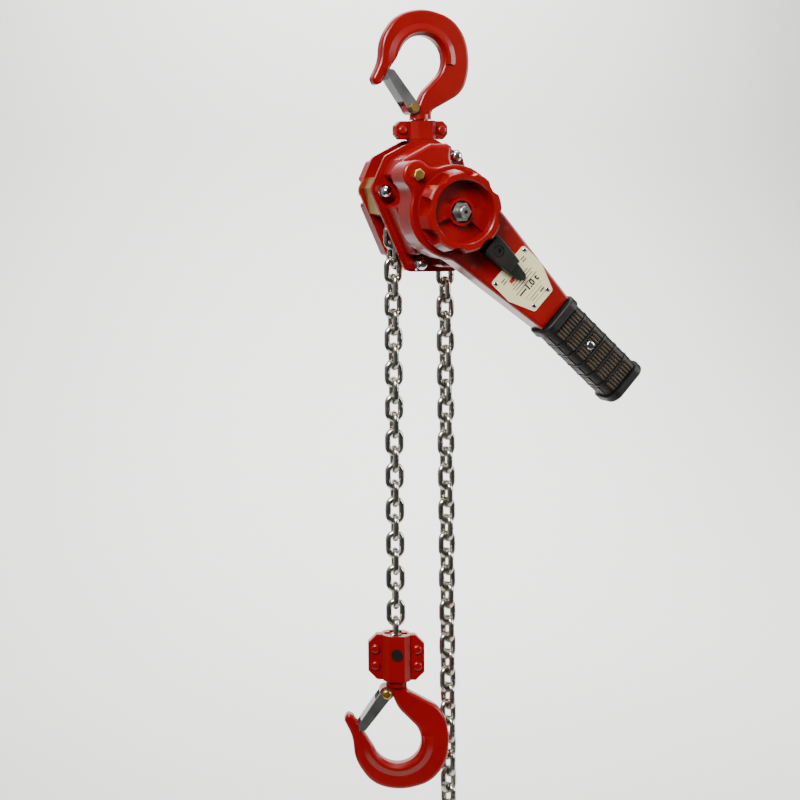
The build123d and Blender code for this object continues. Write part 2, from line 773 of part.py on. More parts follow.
def make_hook(plane):
    """A hook on its middle plane, bowl centre at the plane's origin, shank towards +y."""
    with BuildSketch() as outline:
        with BuildLine():
            back = [(x, y) for x, y, bend in hook_bends[:-1]]
            throat = hook_bends[-1][:2]
            Polyline((-shank_r, shoulder), (shank_r, shoulder), *back, polar(bowl_r, bowl_from))
            ThreePointArc(polar(bowl_r, bowl_from), polar(bowl_r, 290), polar(bowl_r, bowl_to))
            Polyline(polar(bowl_r, bowl_to), throat, (-shank_r, shoulder))
        make_face()
        for x, y, bend in hook_bends:
            fillet(outline.vertices().sort_by_distance((x, y, 0))[0], bend)
    with BuildPart() as web:
        with BuildSketch(plane.offset(-web_t / 2)):
            add(outline.sketch)
        extrude(amount=web_t)
        faces = web.faces().sort_by(Axis(plane.origin, plane.z_dir))
        rims = faces[0].edges() + faces[-1].edges()
        top = plane.origin + shoulder * plane.y_dir
        fillet([edge for edge in rims if abs((edge.center() - top).dot(plane.y_dir)) > 0.5], 3.5)
    spin = Axis(plane.origin, plane.z_dir)
    section = Plane(origin=plane.origin, x_dir=plane.x_dir, z_dir=-plane.y_dir)
    rim = bowl_r + 3.5
    with BuildPart() as bead:
        with BuildSketch(section):
            with BuildLine():
                Polyline(
                    (bowl_r, -seat_land / 2),
                    (bowl_r, seat_land / 2),
                    (rim, bead_t / 2),
                    (rim + 3, bead_t / 2),
                    (bowl_r + 16, web_t / 2 - 1.5),
                    (bowl_r + 16, 1.5 - web_t / 2),
                    (rim + 3, -bead_t / 2),
                    (rim, -bead_t / 2),
                    close=True,
                )
            make_face()
        revolve(axis=spin)
        with BuildSketch(plane.offset(-bead_t)):
            offset(outline.sketch, amount=-1.2)
        extrude(amount=2 * bead_t, mode=Mode.INTERSECT)
        crosswise = Plane(origin=plane.origin - 90 * plane.x_dir, x_dir=plane.y_dir, z_dir=plane.x_dir)
        with BuildSketch(crosswise):
            with Locations((-27, 0)):
                Circle(33)
        extrude(amount=180, mode=Mode.INTERSECT)
    neck_plane = Plane(origin=plane.origin + shoulder * plane.y_dir, x_dir=plane.x_dir, z_dir=plane.y_dir)
    with BuildPart() as hook:
        add(web.part)
        add(bead.part)
        with BuildSketch(neck_plane.offset(-5)):
            Circle(shank_r)
        extrude(amount=5)
        with BuildSketch(neck_plane):
            Circle(neck_r)
        extrude(amount=shoulder_gap + 7)
        with BuildSketch(neck_plane.offset(shoulder_gap + 7)):
            Circle(collar_r)
        extrude(amount=collar_h)
        with BuildSketch(plane.offset(-boss_half)):
            with Locations(latch_pivot):
                Circle(7.2)
        extrude(amount=2 * boss_half)
        with BuildSketch(plane.offset(-20)):
            with Locations(latch_pivot):
                Circle(latch_screw_r)
        extrude(amount=40, mode=Mode.SUBTRACT)
    return hook.part


def make_latch(plane):
    """A sheet latch: two ears beside the hook and a web that stops short of the hook's point."""
    dx = latch_tip[0] - latch_pivot[0]
    dy = latch_tip[1] - latch_pivot[1]
    length = sqrt(dx**2 + dy**2)
    tilt = degrees(atan2(dy, dx))
    with BuildSketch() as ear:
        with Locations(Location(latch_pivot, tilt)):
            Polygon((0, -6.0), (length - 3, -4.6), (length + 1.5, 0), (length - 3, 4.6), (0, 6.0), align=None)
            Circle(6.0)
            Circle(latch_screw_r + running, mode=Mode.SUBTRACT)
    with BuildSketch() as back:
        with Locations(Location(latch_pivot, tilt)):
            Polygon((12, -5.8), (39.5, -4.8), (39.5, -3.3), (12, -4.3), align=None)
    with BuildPart() as latch:
        for start in (-ear_in - latch_t, ear_in):
            with BuildSketch(plane.offset(start)):
                add(ear.sketch)
            extrude(amount=latch_t)
        with BuildSketch(plane.offset(-ear_in)):
            add(back.sketch)
        extrude(amount=2 * ear_in)
    return latch.part


def make_latch_screw(plane):
    """The latch's pivot screw with its head in front and its nut behind."""
    span = ear_in + latch_t + 0.2
    with BuildPart() as screw:
        with BuildSketch(plane.offset(-span - 3)):
            with Locations(latch_pivot):
                Circle(latch_screw_r)
        extrude(amount=2 * span + 3)
        with BuildSketch(plane.offset(span)):
            with Locations(latch_pivot):
                Circle(5.0)
        extrude(amount=3.2)
        fillet(screw.faces().sort_by(Axis(plane.origin, plane.z_dir))[-1].edges(), 2.0)
        with BuildSketch(plane.offset(-span - 3)):
            with Locations(latch_pivot):
                RegularPolygon(4.2, 6, major_radius=False)
        extrude(amount=3)
    return screw.part


top_plane = Plane(origin=(0, 0, 0), x_dir=(1, 0, 0), z_dir=(0, 1, 0))
top_hook = make_hook(top_plane)
finish(top_hook, "top_hook")
finish(make_latch(top_plane), "top_latch")
finish(make_latch_screw(top_plane), "top_latch_screw")



# ---- top yoke and bottom block ----------------------------------------------------------------
def eight_sided(width, height, corner):
    """A rectangle with its corners cut off."""
    x = width / 2
    y = height / 2
    with BuildSketch() as outline:
        with BuildLine():
            Polyline(
                (-x, corner - y),
                (corner - x, -y),
                (x - corner, -y),
                (x, corner - y),
                (x, y - corner),
                (x - corner, y),
                (corner - x, y),
                (-x, y - corner),
                close=True,
            )
        make_face()
    return outline.sketch


def make_fitting(plane, side, height, corner, rivets):
    """Half of a hook fitting split on the plane: ears, barrel, rivet holes, neck hole, collar seat.

    The plane's origin is the fitting's centre and the hook's neck comes in from -y.
    """
    ears = eight_sided(2 * fitting_ear, height, corner)
    barrel = eight_sided(barrel_w, 2 * barrel_half, 6.0)
    foot = plane.origin - height / 2 * plane.y_dir
    across = Plane(origin=foot, x_dir=plane.x_dir, z_dir=plane.y_dir)
    seat = height / 2 - (7 - shoulder_gap)
    with BuildPart() as half:
        with BuildSketch(plane):
            add(ears)
        extrude(amount=side * ear_t)
        fillet(half.faces().sort_by(Axis(plane.origin, side * plane.z_dir))[-1].edges(), 1.2)
        with BuildSketch(across):
            add(barrel)
        extrude(amount=height)
        split(bisect_by=plane, keep=Keep.TOP if side > 0 else Keep.BOTTOM)
        with BuildSketch(plane.offset(-20)):
            with Locations(*rivets):
                Circle(rivet_r)
        extrude(amount=40, mode=Mode.SUBTRACT)
        neck_seat = Plane(origin=foot - 1 * plane.y_dir, x_dir=plane.x_dir, z_dir=plane.y_dir)
        add(Solid.make_cylinder(neck_r + running, 9, neck_seat), mode=Mode.SUBTRACT)
        collar_seat = Plane(origin=foot + 6.7 * plane.y_dir, x_dir=plane.x_dir, z_dir=plane.y_dir)
        add(Solid.make_cylinder(collar_r + 0.3, collar_h + 0.6, collar_seat), mode=Mode.SUBTRACT)
    return half.part


def make_rivets(plane, rivets):
    """Rivets through both halves of a fitting, domed in front and behind."""
    head_h = 3.0
    with BuildPart() as piece:
        with BuildSketch(plane.offset(-ear_t)):
            with Locations(*rivets):
                Circle(rivet_r)
        extrude(amount=2 * ear_t)
        for start, amount in ((ear_t, head_h), (-ear_t, -head_h)):
            with BuildSketch(plane.offset(start)):
                with Locations(*rivets):
                    Circle(rivet_head_r)
            extrude(amount=amount)
        caps = piece.faces().filter_by(GeomType.PLANE).group_by(Axis(plane.origin, plane.z_dir))
        fillet(caps[-1].edges() + caps[0].edges(), 2.6)
    return piece.part


yoke_plane = Plane(origin=(0, 0, yoke_top - yoke_h / 2), x_dir=(1, 0, 0), z_dir=(0, 1, 0))
yoke_rivets = [(-fitting_rivet, 0), (fitting_rivet, 0)]
lug_y = plate_in - 2.0
lug_bottom = sheave_z + top_pin_above - 9.5


def make_yoke_half(side):
    """A half of the top yoke, with its half of the lug that the suspension pin passes through."""
    base = make_fitting(yoke_plane, side, yoke_h, 5.0, yoke_rivets)
    with BuildPart() as half:
        add(base)
        with BuildSketch(Plane.XZ):
            with BuildLine():
                Polyline(
                    (-lug_half, yoke_bottom + 1),
                    (lug_half, yoke_bottom + 1),
                    (lug_half, lug_bottom + 4),
                    (lug_half - 4, lug_bottom),
                    (4 - lug_half, lug_bottom),
                    (-lug_half, lug_bottom + 4),
                    close=True,
                )
            make_face()
            with Locations((0, sheave_z + top_pin_above)):
                Circle(top_pin_r + running, mode=Mode.SUBTRACT)
        extrude(amount=-side * lug_y)
    return half.part


finish(make_yoke_half(-1), "top_yoke_front")
finish(make_yoke_half(1), "top_yoke_rear")
finish(make_rivets(yoke_plane, yoke_rivets), "top_yoke_rivets")

# the bottom block hangs from the last link by its pin
chain_pin_r = 3.5
pin_z = load_places[-1].position.Z - (pitch / 2 - chain_pin_r - link_play)
block_z = pin_z - 5.0
twist = radians(load_twist)
block_x_dir = (cos(twist), sin(twist), 0)
block_z_dir = (sin(twist), -cos(twist), 0)
block_plane = Plane(origin=(load_x, 0, block_z), x_dir=block_x_dir, z_dir=block_z_dir)
hook_z = block_z - block_h / 2 - shoulder_gap - shoulder
bottom_plane = Plane(origin=(load_x, 0, hook_z), x_dir=block_x_dir, z_dir=block_z_dir)
block_rivets = [(-21.5, -8.7), (21.5, -8.7), (-21.5, 8.7), (21.5, 8.7)]
slot_half = 12.0          # half width of the slot the last link swings in
slot_deep = wire / 2 + 0.6
pin_up = pin_z - block_z


def make_block_half(side):
    """A half of the bottom block, with its half of the slot for the last two links."""
    base = make_fitting(block_plane, side, block_h, 9.0, block_rivets)
    with BuildPart() as half:
        add(base)
        with BuildSketch(block_plane.offset(-slot_deep)):
            with Locations((0, pin_up - 10.6)):
                Rectangle(2 * slot_half, 60, align=(Align.CENTER, Align.MIN))
        extrude(amount=2 * slot_deep, mode=Mode.SUBTRACT)
        with BuildSketch(block_plane.offset(-link_width / 2 - 0.9)):
            with Locations((0, pin_up + 6.5)):
                Rectangle(13.0, 60, align=(Align.CENTER, Align.MIN))
        extrude(amount=link_width + 1.8, mode=Mode.SUBTRACT)
        with BuildSketch(block_plane.offset(-20)):
            with Locations((0, pin_up)):
                Circle(chain_pin_r)
        extrude(amount=40, mode=Mode.SUBTRACT)
    return half.part


finish(make_block_half(1), "bottom_block_front")
finish(make_block_half(-1), "bottom_block_rear")
finish(make_rivets(block_plane, block_rivets), "bottom_block_rivets")

with BuildPart() as chain_pin:
    with BuildSketch(block_plane.offset(-barrel_half)):
        with Locations((0, pin_up)):
            Circle(chain_pin_r)
    extrude(amount=2 * barrel_half)
    with BuildSketch(block_plane.offset(barrel_half)):
        with Locations((0, pin_up)):
            Circle(6.0)
    extrude(amount=1.4)
finish(chain_pin.part, "chain_pin")

finish(make_hook(bottom_plane), "bottom_hook")
finish(make_latch(bottom_plane), "bottom_latch")
finish(make_latch_screw(bottom_plane), "bottom_latch_screw")

# ---- lever ----------------------------------------------------------------------------------------
shell_wall = 3.5
skin = 4.0                # thickness of the shells' outer faces
lever_bolts_at = [(-lobe_at, 0), (52.0, 26.0), (52.0, -26.0)]
lever_bolt_r = 3.0
head = head_outline(0)
head_inside = head_outline(shell_wall)
body = lever_outline(0)
body_inside = lever_outline(shell_wall)
hub_bore = change_hub_r + running
with BuildSketch() as inside_trim:
    add(body_inside)
    with Locations((arm_end - 14, 0)):
        Rectangle(60, 100, align=(Align.MIN, Align.CENTER), mode=Mode.SUBTRACT)
    with Locations(*lever_bolts_at):
        Circle(6.0, mode=Mode.SUBTRACT)
with BuildSketch() as head_trim:
    add(head_inside)
    with Locations((-lobe_at, 0)):
        Circle(6.0, mode=Mode.SUBTRACT)
tang_t = 12.0             # thickness of the front shell's tang
ridges = 5                # ridges around the grip, between its collars
grip_len = grip_end - arm_end
band = (grip_len - 2 * collar_len) / (ridges + 1)
grip_screw_at = arm_end + collar_len + 2.5 * band


def make_tang(depth, thickness):
    """Add the flat tang that reaches into the grip, between these depths."""
    seat = lever_plane(depth)
    middle = seat.origin + (arm_end - 1 + tang_end) / 2 * seat.x_dir
    frame = Plane(origin=middle + thickness / 2 * seat.z_dir, x_dir=seat.x_dir, z_dir=seat.z_dir)
    return Solid.make_box(tang_end - arm_end + 1, 2 * tang_half, thickness).moved(
        Location(Plane(origin=frame.origin, x_dir=frame.x_dir, z_dir=frame.z_dir))
        * Location((-(tang_end - arm_end + 1) / 2, -tang_half, -thickness / 2))
    )


with BuildPart() as lever_rear_shell:
    with BuildSketch(lever_plane(arm_back)):
        add(body)
    extrude(amount=lever_joint - arm_back)
    with BuildSketch(lever_plane(lever_back)):
        add(head)
    extrude(amount=arm_back - lever_back)
    fillet(lever_rear_shell.faces().sort_by(Axis.Y)[-1].edges(), 3.0)
    with BuildSketch(lever_plane(arm_back + shell_wall)):
        add(inside_trim.sketch)
    extrude(amount=20, mode=Mode.SUBTRACT)
    with BuildSketch(lever_plane(lever_back + skin)):
        add(head_trim.sketch)
    extrude(amount=20, mode=Mode.SUBTRACT)
    add(make_tang(lever_joint - 4, 4))
    turned(hub_bore + 5, lever_back + skin, arm_back)
    turned(hub_bore, lever_back - 1, lever_joint, Mode.SUBTRACT)
    with BuildSketch(lever_plane(lever_back)):
        with Locations(*lever_bolts_at):
            Circle(lever_bolt_r)
        with Locations((grip_screw_at, 0)):
            Circle(3.0)
    extrude(amount=30, mode=Mode.SUBTRACT)
finish(lever_rear_shell.part, "lever_rear_shell")

with BuildPart() as lever_front_shell:
    with BuildSketch(lever_plane(lever_joint)):
        add(body)
    extrude(amount=lever_face - lever_joint)
    fillet(lever_front_shell.faces().sort_by(Axis.Y)[0].edges(), 3.0)
    with BuildSketch(lever_plane(lever_joint)):
        add(inside_trim.sketch)
    extrude(amount=lever_face - skin - lever_joint, mode=Mode.SUBTRACT)
    add(make_tang(lever_joint, tang_t))
    turned(hub_bore + 5, lever_face - skin - 4, lever_face - skin)
    turned(hub_bore, lever_joint, lever_face + 1, Mode.SUBTRACT)
    with BuildSketch(lever_plane(lever_joint)):
        with Locations(*lever_bolts_at):
            Circle(lever_bolt_r)
        with Locations((selector_at, 0)):
            Circle(4.5 + running)
        with Locations((grip_screw_at, 0)):
            Circle(3.0)
    extrude(amount=30, mode=Mode.SUBTRACT)
finish(lever_front_shell.part, "lever_front_shell")

with BuildPart() as lever_bolts:
    backs = (lever_back, arm_back, arm_back)
    for place, back in zip(lever_bolts_at, backs):
        with BuildSketch(lever_plane(back)):
            with Locations(place):
                Circle(lever_bolt_r)
        extrude(amount=lever_face - back)
        with BuildSketch(lever_plane(back)):
            with Locations(place):
                RegularPolygon(4.6, 6, major_radius=False)
        extrude(amount=-3.0)
    with BuildSketch(lever_plane(lever_face)):
        with Locations(lever_bolts_at[0]):
            RegularPolygon(5.2, 6, major_radius=False)
    extrude(amount=5.0)
    crown = lever_bolts.faces().sort_by(Axis.Y)[0]
    fillet(crown.edges(), 1.2)
finish(lever_bolts.part, "lever_bolts")

# ---- grip -----------------------------------------------------------------------------------------
grip_depth = lever_joint + (tang_t - 4) / 2
along = (cos(radians(lever_angle)), 0, sin(radians(lever_angle)))
lateral = (-sin(radians(lever_angle)), 0, cos(radians(lever_angle)))


def grip_plane(u):
    """The plane square to the lever at u along it, x across the lever and y towards the rear."""
    origin = (sheave_x + u * along[0], -grip_depth, sheave_z + u * along[2])
    return Plane(origin=origin, x_dir=lateral, z_dir=along)


with BuildPart() as lever_grip:
    with BuildSketch(grip_plane(arm_end)):
        RectangleRounded(grip_w, grip_t, 9)
    extrude(amount=grip_len)
    for start in (arm_end, grip_end - collar_len):
        with BuildSketch(grip_plane(start)):
            RectangleRounded(collar_w, grip_t + 6, 12)
        extrude(amount=collar_len)
    fillet(lever_grip.faces().filter_by(GeomType.PLANE).sort_by(Axis((0, 0, 0), along))[-1].edges(), 3.5)
    fillet(lever_grip.faces().filter_by(GeomType.PLANE).sort_by(Axis((0, 0, 0), along))[0].edges(), 2.0)
    for number in range(ridges):
        with BuildSketch(grip_plane(arm_end + collar_len + band * (number + 1) - 1.1)):
            RectangleRounded(grip_w + 2.2, grip_t + 2.2, 10)
        extrude(amount=2.2)
    add(make_tang(lever_joint - 4, tang_t + 4), mode=Mode.SUBTRACT)
    with BuildSketch(lever_plane(lever_joint)):
        with Locations((grip_screw_at, 0)):
            Circle(3.0)
    extrude(amount=40, both=True, mode=Mode.SUBTRACT)
finish(lever_grip.part, "lever_grip")

grip_front = grip_depth + grip_t / 2
with BuildPart() as grip_screw:
    with BuildSketch(lever_plane(grip_front - grip_t)):
        with Locations((grip_screw_at, 0)):
            Circle(3.0)
    extrude(amount=grip_t)
    with BuildSketch(lever_plane(grip_front)):
        with Locations((grip_screw_at, 0)):
            Circle(4.6)
    extrude(amount=2.6)
    fillet(grip_screw.faces().sort_by(Axis.Y)[0].edges(), 1.8)
finish(grip_screw.part, "grip_screw")

# ---- rating plate -------------------------------------------------------------------------------
plate_end = plate_at + plate_len
sheet_t = 0.8
plate_rivets_at = [(plate_at + 4, 23.0), (plate_at + 4, -23.0), (plate_end - 5, 11.0), (plate_end - 5, -11.0)]
with BuildPart() as name_plate:
    with BuildSketch(lever_plane(lever_face)) as sheet:
        with BuildLine():
            Polyline(
                (plate_at, -plate_half),
                (plate_at + 27, -plate_half),
                (plate_end, -14.5),
                (plate_end, 14.5),
                (plate_at + 27, plate_half),
                (plate_at, plate_half),
                close=True,
            )
        make_face()
        fillet(sheet.vertices(), 3.0)
        with Locations(*plate_rivets_at):
            Circle(1.2, mode=Mode.SUBTRACT)
    extrude(amount=sheet_t)
finish(name_plate.part, "name_plate")

with BuildPart() as name_plate_rivets:
    with BuildSketch(lever_plane(lever_face)):
        with Locations(*plate_rivets_at):
            Circle(1.2)
    extrude(amount=sheet_t)
    with BuildSketch(lever_plane(lever_face + sheet_t)):
        with Locations(*plate_rivets_at):
            Circle(2.4)
    extrude(amount=1.3)
    fillet(name_plate_rivets.faces().filter_by(Axis.Y).group_by(Axis.Y)[0].edges(), 1.0)
finish(name_plate_rivets.part, "name_plate_rivets")

# ---- changeover selector ------------------------------------------------------------------------
knob_back = lever_face + 1.2
knob_front = lever_face + 12.0
tip_front = lever_face + 6.5
with BuildSketch() as knob_body:
    with Locations((selector_at, 0)):
        Polygon(
            (-12, -9.5),
            (-9.5, -11.5),
            (6, -10.5),
            (24, -8),
            (24, 8),
            (6, 10.5),
            (-9.5, 11.5),
            (-12, 9.5),
            align=None,
        )
with BuildSketch() as knob_tip:
    with Locations((selector_at, 0)):
        Polygon(
            (20, -7),
            (selector_reach - 3, -4.4),
            (selector_reach, -2),
            (selector_reach, 2),
            (selector_reach - 3, 4.4),
            (20, 7),
            align=None,
        )
with BuildPart() as selector_knob:
    with BuildSketch(lever_plane(knob_back)):
        add(knob_body.sketch)
    extrude(amount=knob_front - knob_back)
    fillet(selector_knob.faces().sort_by(Axis.Y)[0].edges(), 1.5)
    with BuildSketch(lever_plane(knob_back)):
        add(knob_tip.sketch)
    extrude(amount=tip_front - knob_back)
    with BuildSketch(lever_plane(knob_front - 2.5)):
        with Locations((selector_at, 0)):
            Circle(5.6)
    extrude(amount=5, mode=Mode.SUBTRACT)
    with BuildSketch(lever_plane(knob_back)):
        with Locations((selector_at, 0)):
            Circle(4.5)
    extrude(amount=20, mode=Mode.SUBTRACT)
finish(selector_knob.part, "selector_knob")

pawl_back = change_teeth_back + 0.5
pawl_front = change_teeth_front - 0.5
with BuildPart() as selector_shaft:
    with BuildSketch(lever_plane(pawl_back)):
        with Locations((selector_at, 0)):
            Circle(4.5)
    extrude(amount=knob_front - 2.5 - pawl_back)
finish(selector_shaft.part, "selector_shaft")

with BuildPart() as selector_screw:
    with BuildSketch(lever_plane(knob_front - 2.5)):
        with Locations((selector_at, 0)):
            Circle(5.0)
    extrude(amount=2.0)
    with BuildSketch(lever_plane(knob_front - 1.7)):
        with Locations((selector_at, 0)):
            RegularPolygon(2.5, 6, major_radius=False)
    extrude(amount=4, mode=Mode.SUBTRACT)
finish(selector_screw.part, "selector_screw")

with BuildPart() as changeover_pawl:
    with BuildSketch(lever_plane(pawl_back)):
        with Locations((selector_at, 0)):
            Circle(9.0)
        for lean in (180 - pawl_spread, 180 + pawl_spread):
            with Locations(Location((selector_at, 0), lean)):
                Polygon(
                    (0, -5.5),
                    (pawl_reach - 3, -2.5),
                    (pawl_reach, -0.8),
                    (pawl_reach, 0.8),
                    (pawl_reach - 3, 2.5),
                    (0, 5.5),
                    align=None,
                )
        with Locations((selector_at, 0)):
            Circle(4.5, mode=Mode.SUBTRACT)
    extrude(amount=pawl_front - pawl_back)
finish(changeover_pawl.part, "changeover_pawl")

# ---- hand wheel -----------------------------------------------------------------------------------
wheel_front = shaft_front - 0.5
boss_in = 11.0            # inner radius of the ring around the shaft nut
boss_out = 13.6
across_axis = Plane(origin=(sheave_x, 0, sheave_z), x_dir=(1, 0, 0), z_dir=(0, 0, 1))
with BuildPart() as hand_wheel:
    with BuildSketch(across_axis):
        with BuildLine():
            Polyline(
                (shaft_r, -wheel_back),
                (wheel_r - 2, -wheel_back),
                (wheel_r, -wheel_back - 2),
                (wheel_r, -wheel_back - 6),
                (wheel_rim_r, -wheel_front + 1.8),
                (wheel_rim_r - 1.8, -wheel_front),
                (wheel_recess_r + 1, -wheel_front),
                (wheel_recess_r, -wheel_front + 1),
                (wheel_recess_r - 1, -nut_seat),
                (boss_out, -nut_seat),
                (boss_out, -nut_seat - 6),
                (boss_in, -nut_seat - 6),
                (boss_in, -nut_seat),
                (shaft_r, -nut_seat),
                close=True,
            )
        make_face()
    revolve(axis=Axis((sheave_x, 0, sheave_z), (0, 1, 0)))
    with BuildSketch(axle(wheel_back + 5)):
        with PolarLocations(wheel_rim_r + flute_r - flute_depth, flutes, start_angle=104 + 180 / flutes):
            Circle(flute_r)
    extrude(amount=30, mode=Mode.SUBTRACT)
    for middle in (176, -14):
        with BuildSketch(axle(nut_seat)):
            with BuildLine():
                Polyline(
                    polar(boss_out - 1, middle - 27),
                    polar(wheel_recess_r + 0.5, middle - 27),
                    polar(wheel_recess_r + 3.5, middle),
                    polar(wheel_recess_r + 0.5, middle + 27),
                    polar(boss_out - 1, middle + 27),
                    close=True,
                )
            make_face()
        extrude(amount=5.0)
    turned(boss_in, nut_seat, wheel_front + 2, Mode.SUBTRACT)
finish(hand_wheel.part, "hand_wheel")

with BuildPart() as shaft_nut:
    with BuildSketch(axle(nut_seat)):
        RegularPolygon(9.0, 6, major_radius=False)
        Circle(shaft_end_r, mode=Mode.SUBTRACT)
    extrude(amount=6.0)
finish(shaft_nut.part, "shaft_nut")
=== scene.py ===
"""Lever chain hoist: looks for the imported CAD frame, laid out as an add-on.

Each operator dresses or makes one group of pieces, and the last one sets the stage and the camera.
"""

from math import cos, pi, radians, sin

import bpy
from mathutils import Matrix, Vector


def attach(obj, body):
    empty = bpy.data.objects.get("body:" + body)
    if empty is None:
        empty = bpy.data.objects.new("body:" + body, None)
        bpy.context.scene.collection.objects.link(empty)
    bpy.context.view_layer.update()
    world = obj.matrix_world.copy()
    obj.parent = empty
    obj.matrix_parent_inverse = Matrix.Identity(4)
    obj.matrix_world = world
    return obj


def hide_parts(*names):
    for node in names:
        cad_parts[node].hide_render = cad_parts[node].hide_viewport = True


bl_info = {
    "name": "Lever Chain Hoist",
    "version": (1, 0, 0),
    "blender": (4, 5, 0),
    "location": "View3D > Sidebar > Hoist",
    "description": "Materials, chain, grip, rating plate and stage for the lever chain hoist",
    "category": "Object",
}

MM = 0.001
SMOOTH_UNDER = radians(32)  # faces that meet at less than this are one rounded surface
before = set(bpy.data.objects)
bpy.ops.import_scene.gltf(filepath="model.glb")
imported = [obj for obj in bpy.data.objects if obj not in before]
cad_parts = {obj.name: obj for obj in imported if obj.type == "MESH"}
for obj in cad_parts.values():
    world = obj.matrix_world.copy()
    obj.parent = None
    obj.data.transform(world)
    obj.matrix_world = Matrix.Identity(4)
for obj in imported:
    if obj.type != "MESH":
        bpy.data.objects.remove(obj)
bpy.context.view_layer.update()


# ---- helpers --------------------------------------------------------------------------------------
def linear(code):
    """An sRGB hex colour as linear red, green and blue."""
    values = [int(code[i : i + 2], 16) / 255 for i in (1, 3, 5)]
    return [v / 12.92 if v <= 0.04045 else ((v + 0.055) / 1.055) ** 2.4 for v in values]


def node(tree, kind, inputs=None, **settings):
    """Add a node with its settings, and give its inputs a value or a link."""
    new = tree.nodes.new(kind)
    for key, value in settings.items():
        setattr(new, key, value)
    for key, value in (inputs or {}).items():
        if isinstance(value, bpy.types.NodeSocket):
            tree.links.new(value, new.inputs[key])
        else:
            new.inputs[key].default_value = value
    return new


# Each finish: name, colour setting, metallic, roughness, coat, specular level, size of its patches in mm,
# how far they darken, size of its grain in mm, and the strength of that grain.
FINISHES = {
    # Sprayed and baked enamel: a wet gloss over a deep red, with a faint orange peel.
    "enamel": ("Red enamel paint", "enamel", 0.0, 0.3, 0.2, 0.3, 55, 0.15, 4.6, 0.05),
    # Barrelled links plated with bright zinc: hard glints, with scuffs where the links rub.
    "zinc": ("Bright zinc-plated steel", "zinc", 1.0, 0.2, 0.0, 0.5, 11, 0.25, 0.9, 0.25),
    # Polished nickel and chrome: a clean mirror.
    "chrome": ("Chromed steel", "chrome", 1.0, 0.09, 0.0, 0.5, 25, 0.1, 2.0, 0.0),
    # Zinc with a yellow passivation: a satin gold that clouds in places.
    "yellow": ("Yellow zinc-plated steel", "yellow", 1.0, 0.3, 0.0, 0.5, 8, 0.3, 0.7, 0.2),
    # Turned and milled steel, oiled: an even soft sheen.
    "steel": ("Machined steel", "steel", 1.0, 0.32, 0.0, 0.5, 17, 0.15, 1.4, 0.15),
    # Blacked casting: dull, with the sand's grit, drawn coarse enough to show.
    "black": ("Black cast steel", "black", 0.5, 0.45, 0.0, 0.4, 12, 0.25, 1.0, 0.6),
    # Moulded nitrile rubber: dark and matt with a slight bloom.
    "rubber": ("Moulded rubber", "rubber", 0.0, 0.5, 0.0, 0.3, 14, 0.25, 1.2, 0.5),
    # The same rubber on the rib tops, painted lighter and browner as a highlight on the ribs, and a little
    # shinier.
    "worn": ("Worn rubber ribs", "worn", 0.0, 0.42, 0.0, 0.3, 9, 0.35, 1.2, 0.5),
    # Rolled sheet: a grey satin.
    "sheet": ("Sheet steel", "sheet", 1.0, 0.34, 0.0, 0.5, 14, 0.2, 1.2, 0.2),
    # Pressed friction lining: brown and dusty, with coarse fibres.
    "lining": ("Friction lining", "lining", 0.0, 0.8, 0.0, 0.5, 7, 0.3, 0.6, 0.4),
    # Sintered bronze: a warm satin.
    "bronze": ("Bearing bronze", "bronze", 1.0, 0.3, 0.0, 0.5, 17, 0.15, 1.4, 0.1),
    # Enamelled aluminium plate: ivory and smooth.
    "plate": ("Printed aluminium plate", "ivory", 0.1, 0.38, 0.0, 0.5, 33, 0.05, 2.8, 0.05),
    # Screen print: flat, thin ink.
    "ink": ("Black print", "ink", 0.0, 0.6, 0.0, 0.5, 17, 0.1, 2.0, 0.0),
    "red_ink": ("Red print", "red_ink", 0.0, 0.6, 0.0, 0.5, 17, 0.1, 2.0, 0.0),
    # Matt studio paper.
    "paper": ("Pale backdrop", "floor", 0.0, 0.9, 0.0, 0.5, 500, 0.01, 40.0, 0.0),
}
GRAIN_DEPTH = 0.2 * MM
COAT_ROUGHNESS = 0.08
PATCH_DETAIL, GRAIN_DETAIL = 6.0, 3.0
PATCH_DARK, PATCH_LIGHT = 0.35, 0.62  # noise values where a patch is darkest and lightest
WEAR = 0.15  # how far the roughness strays from its mean


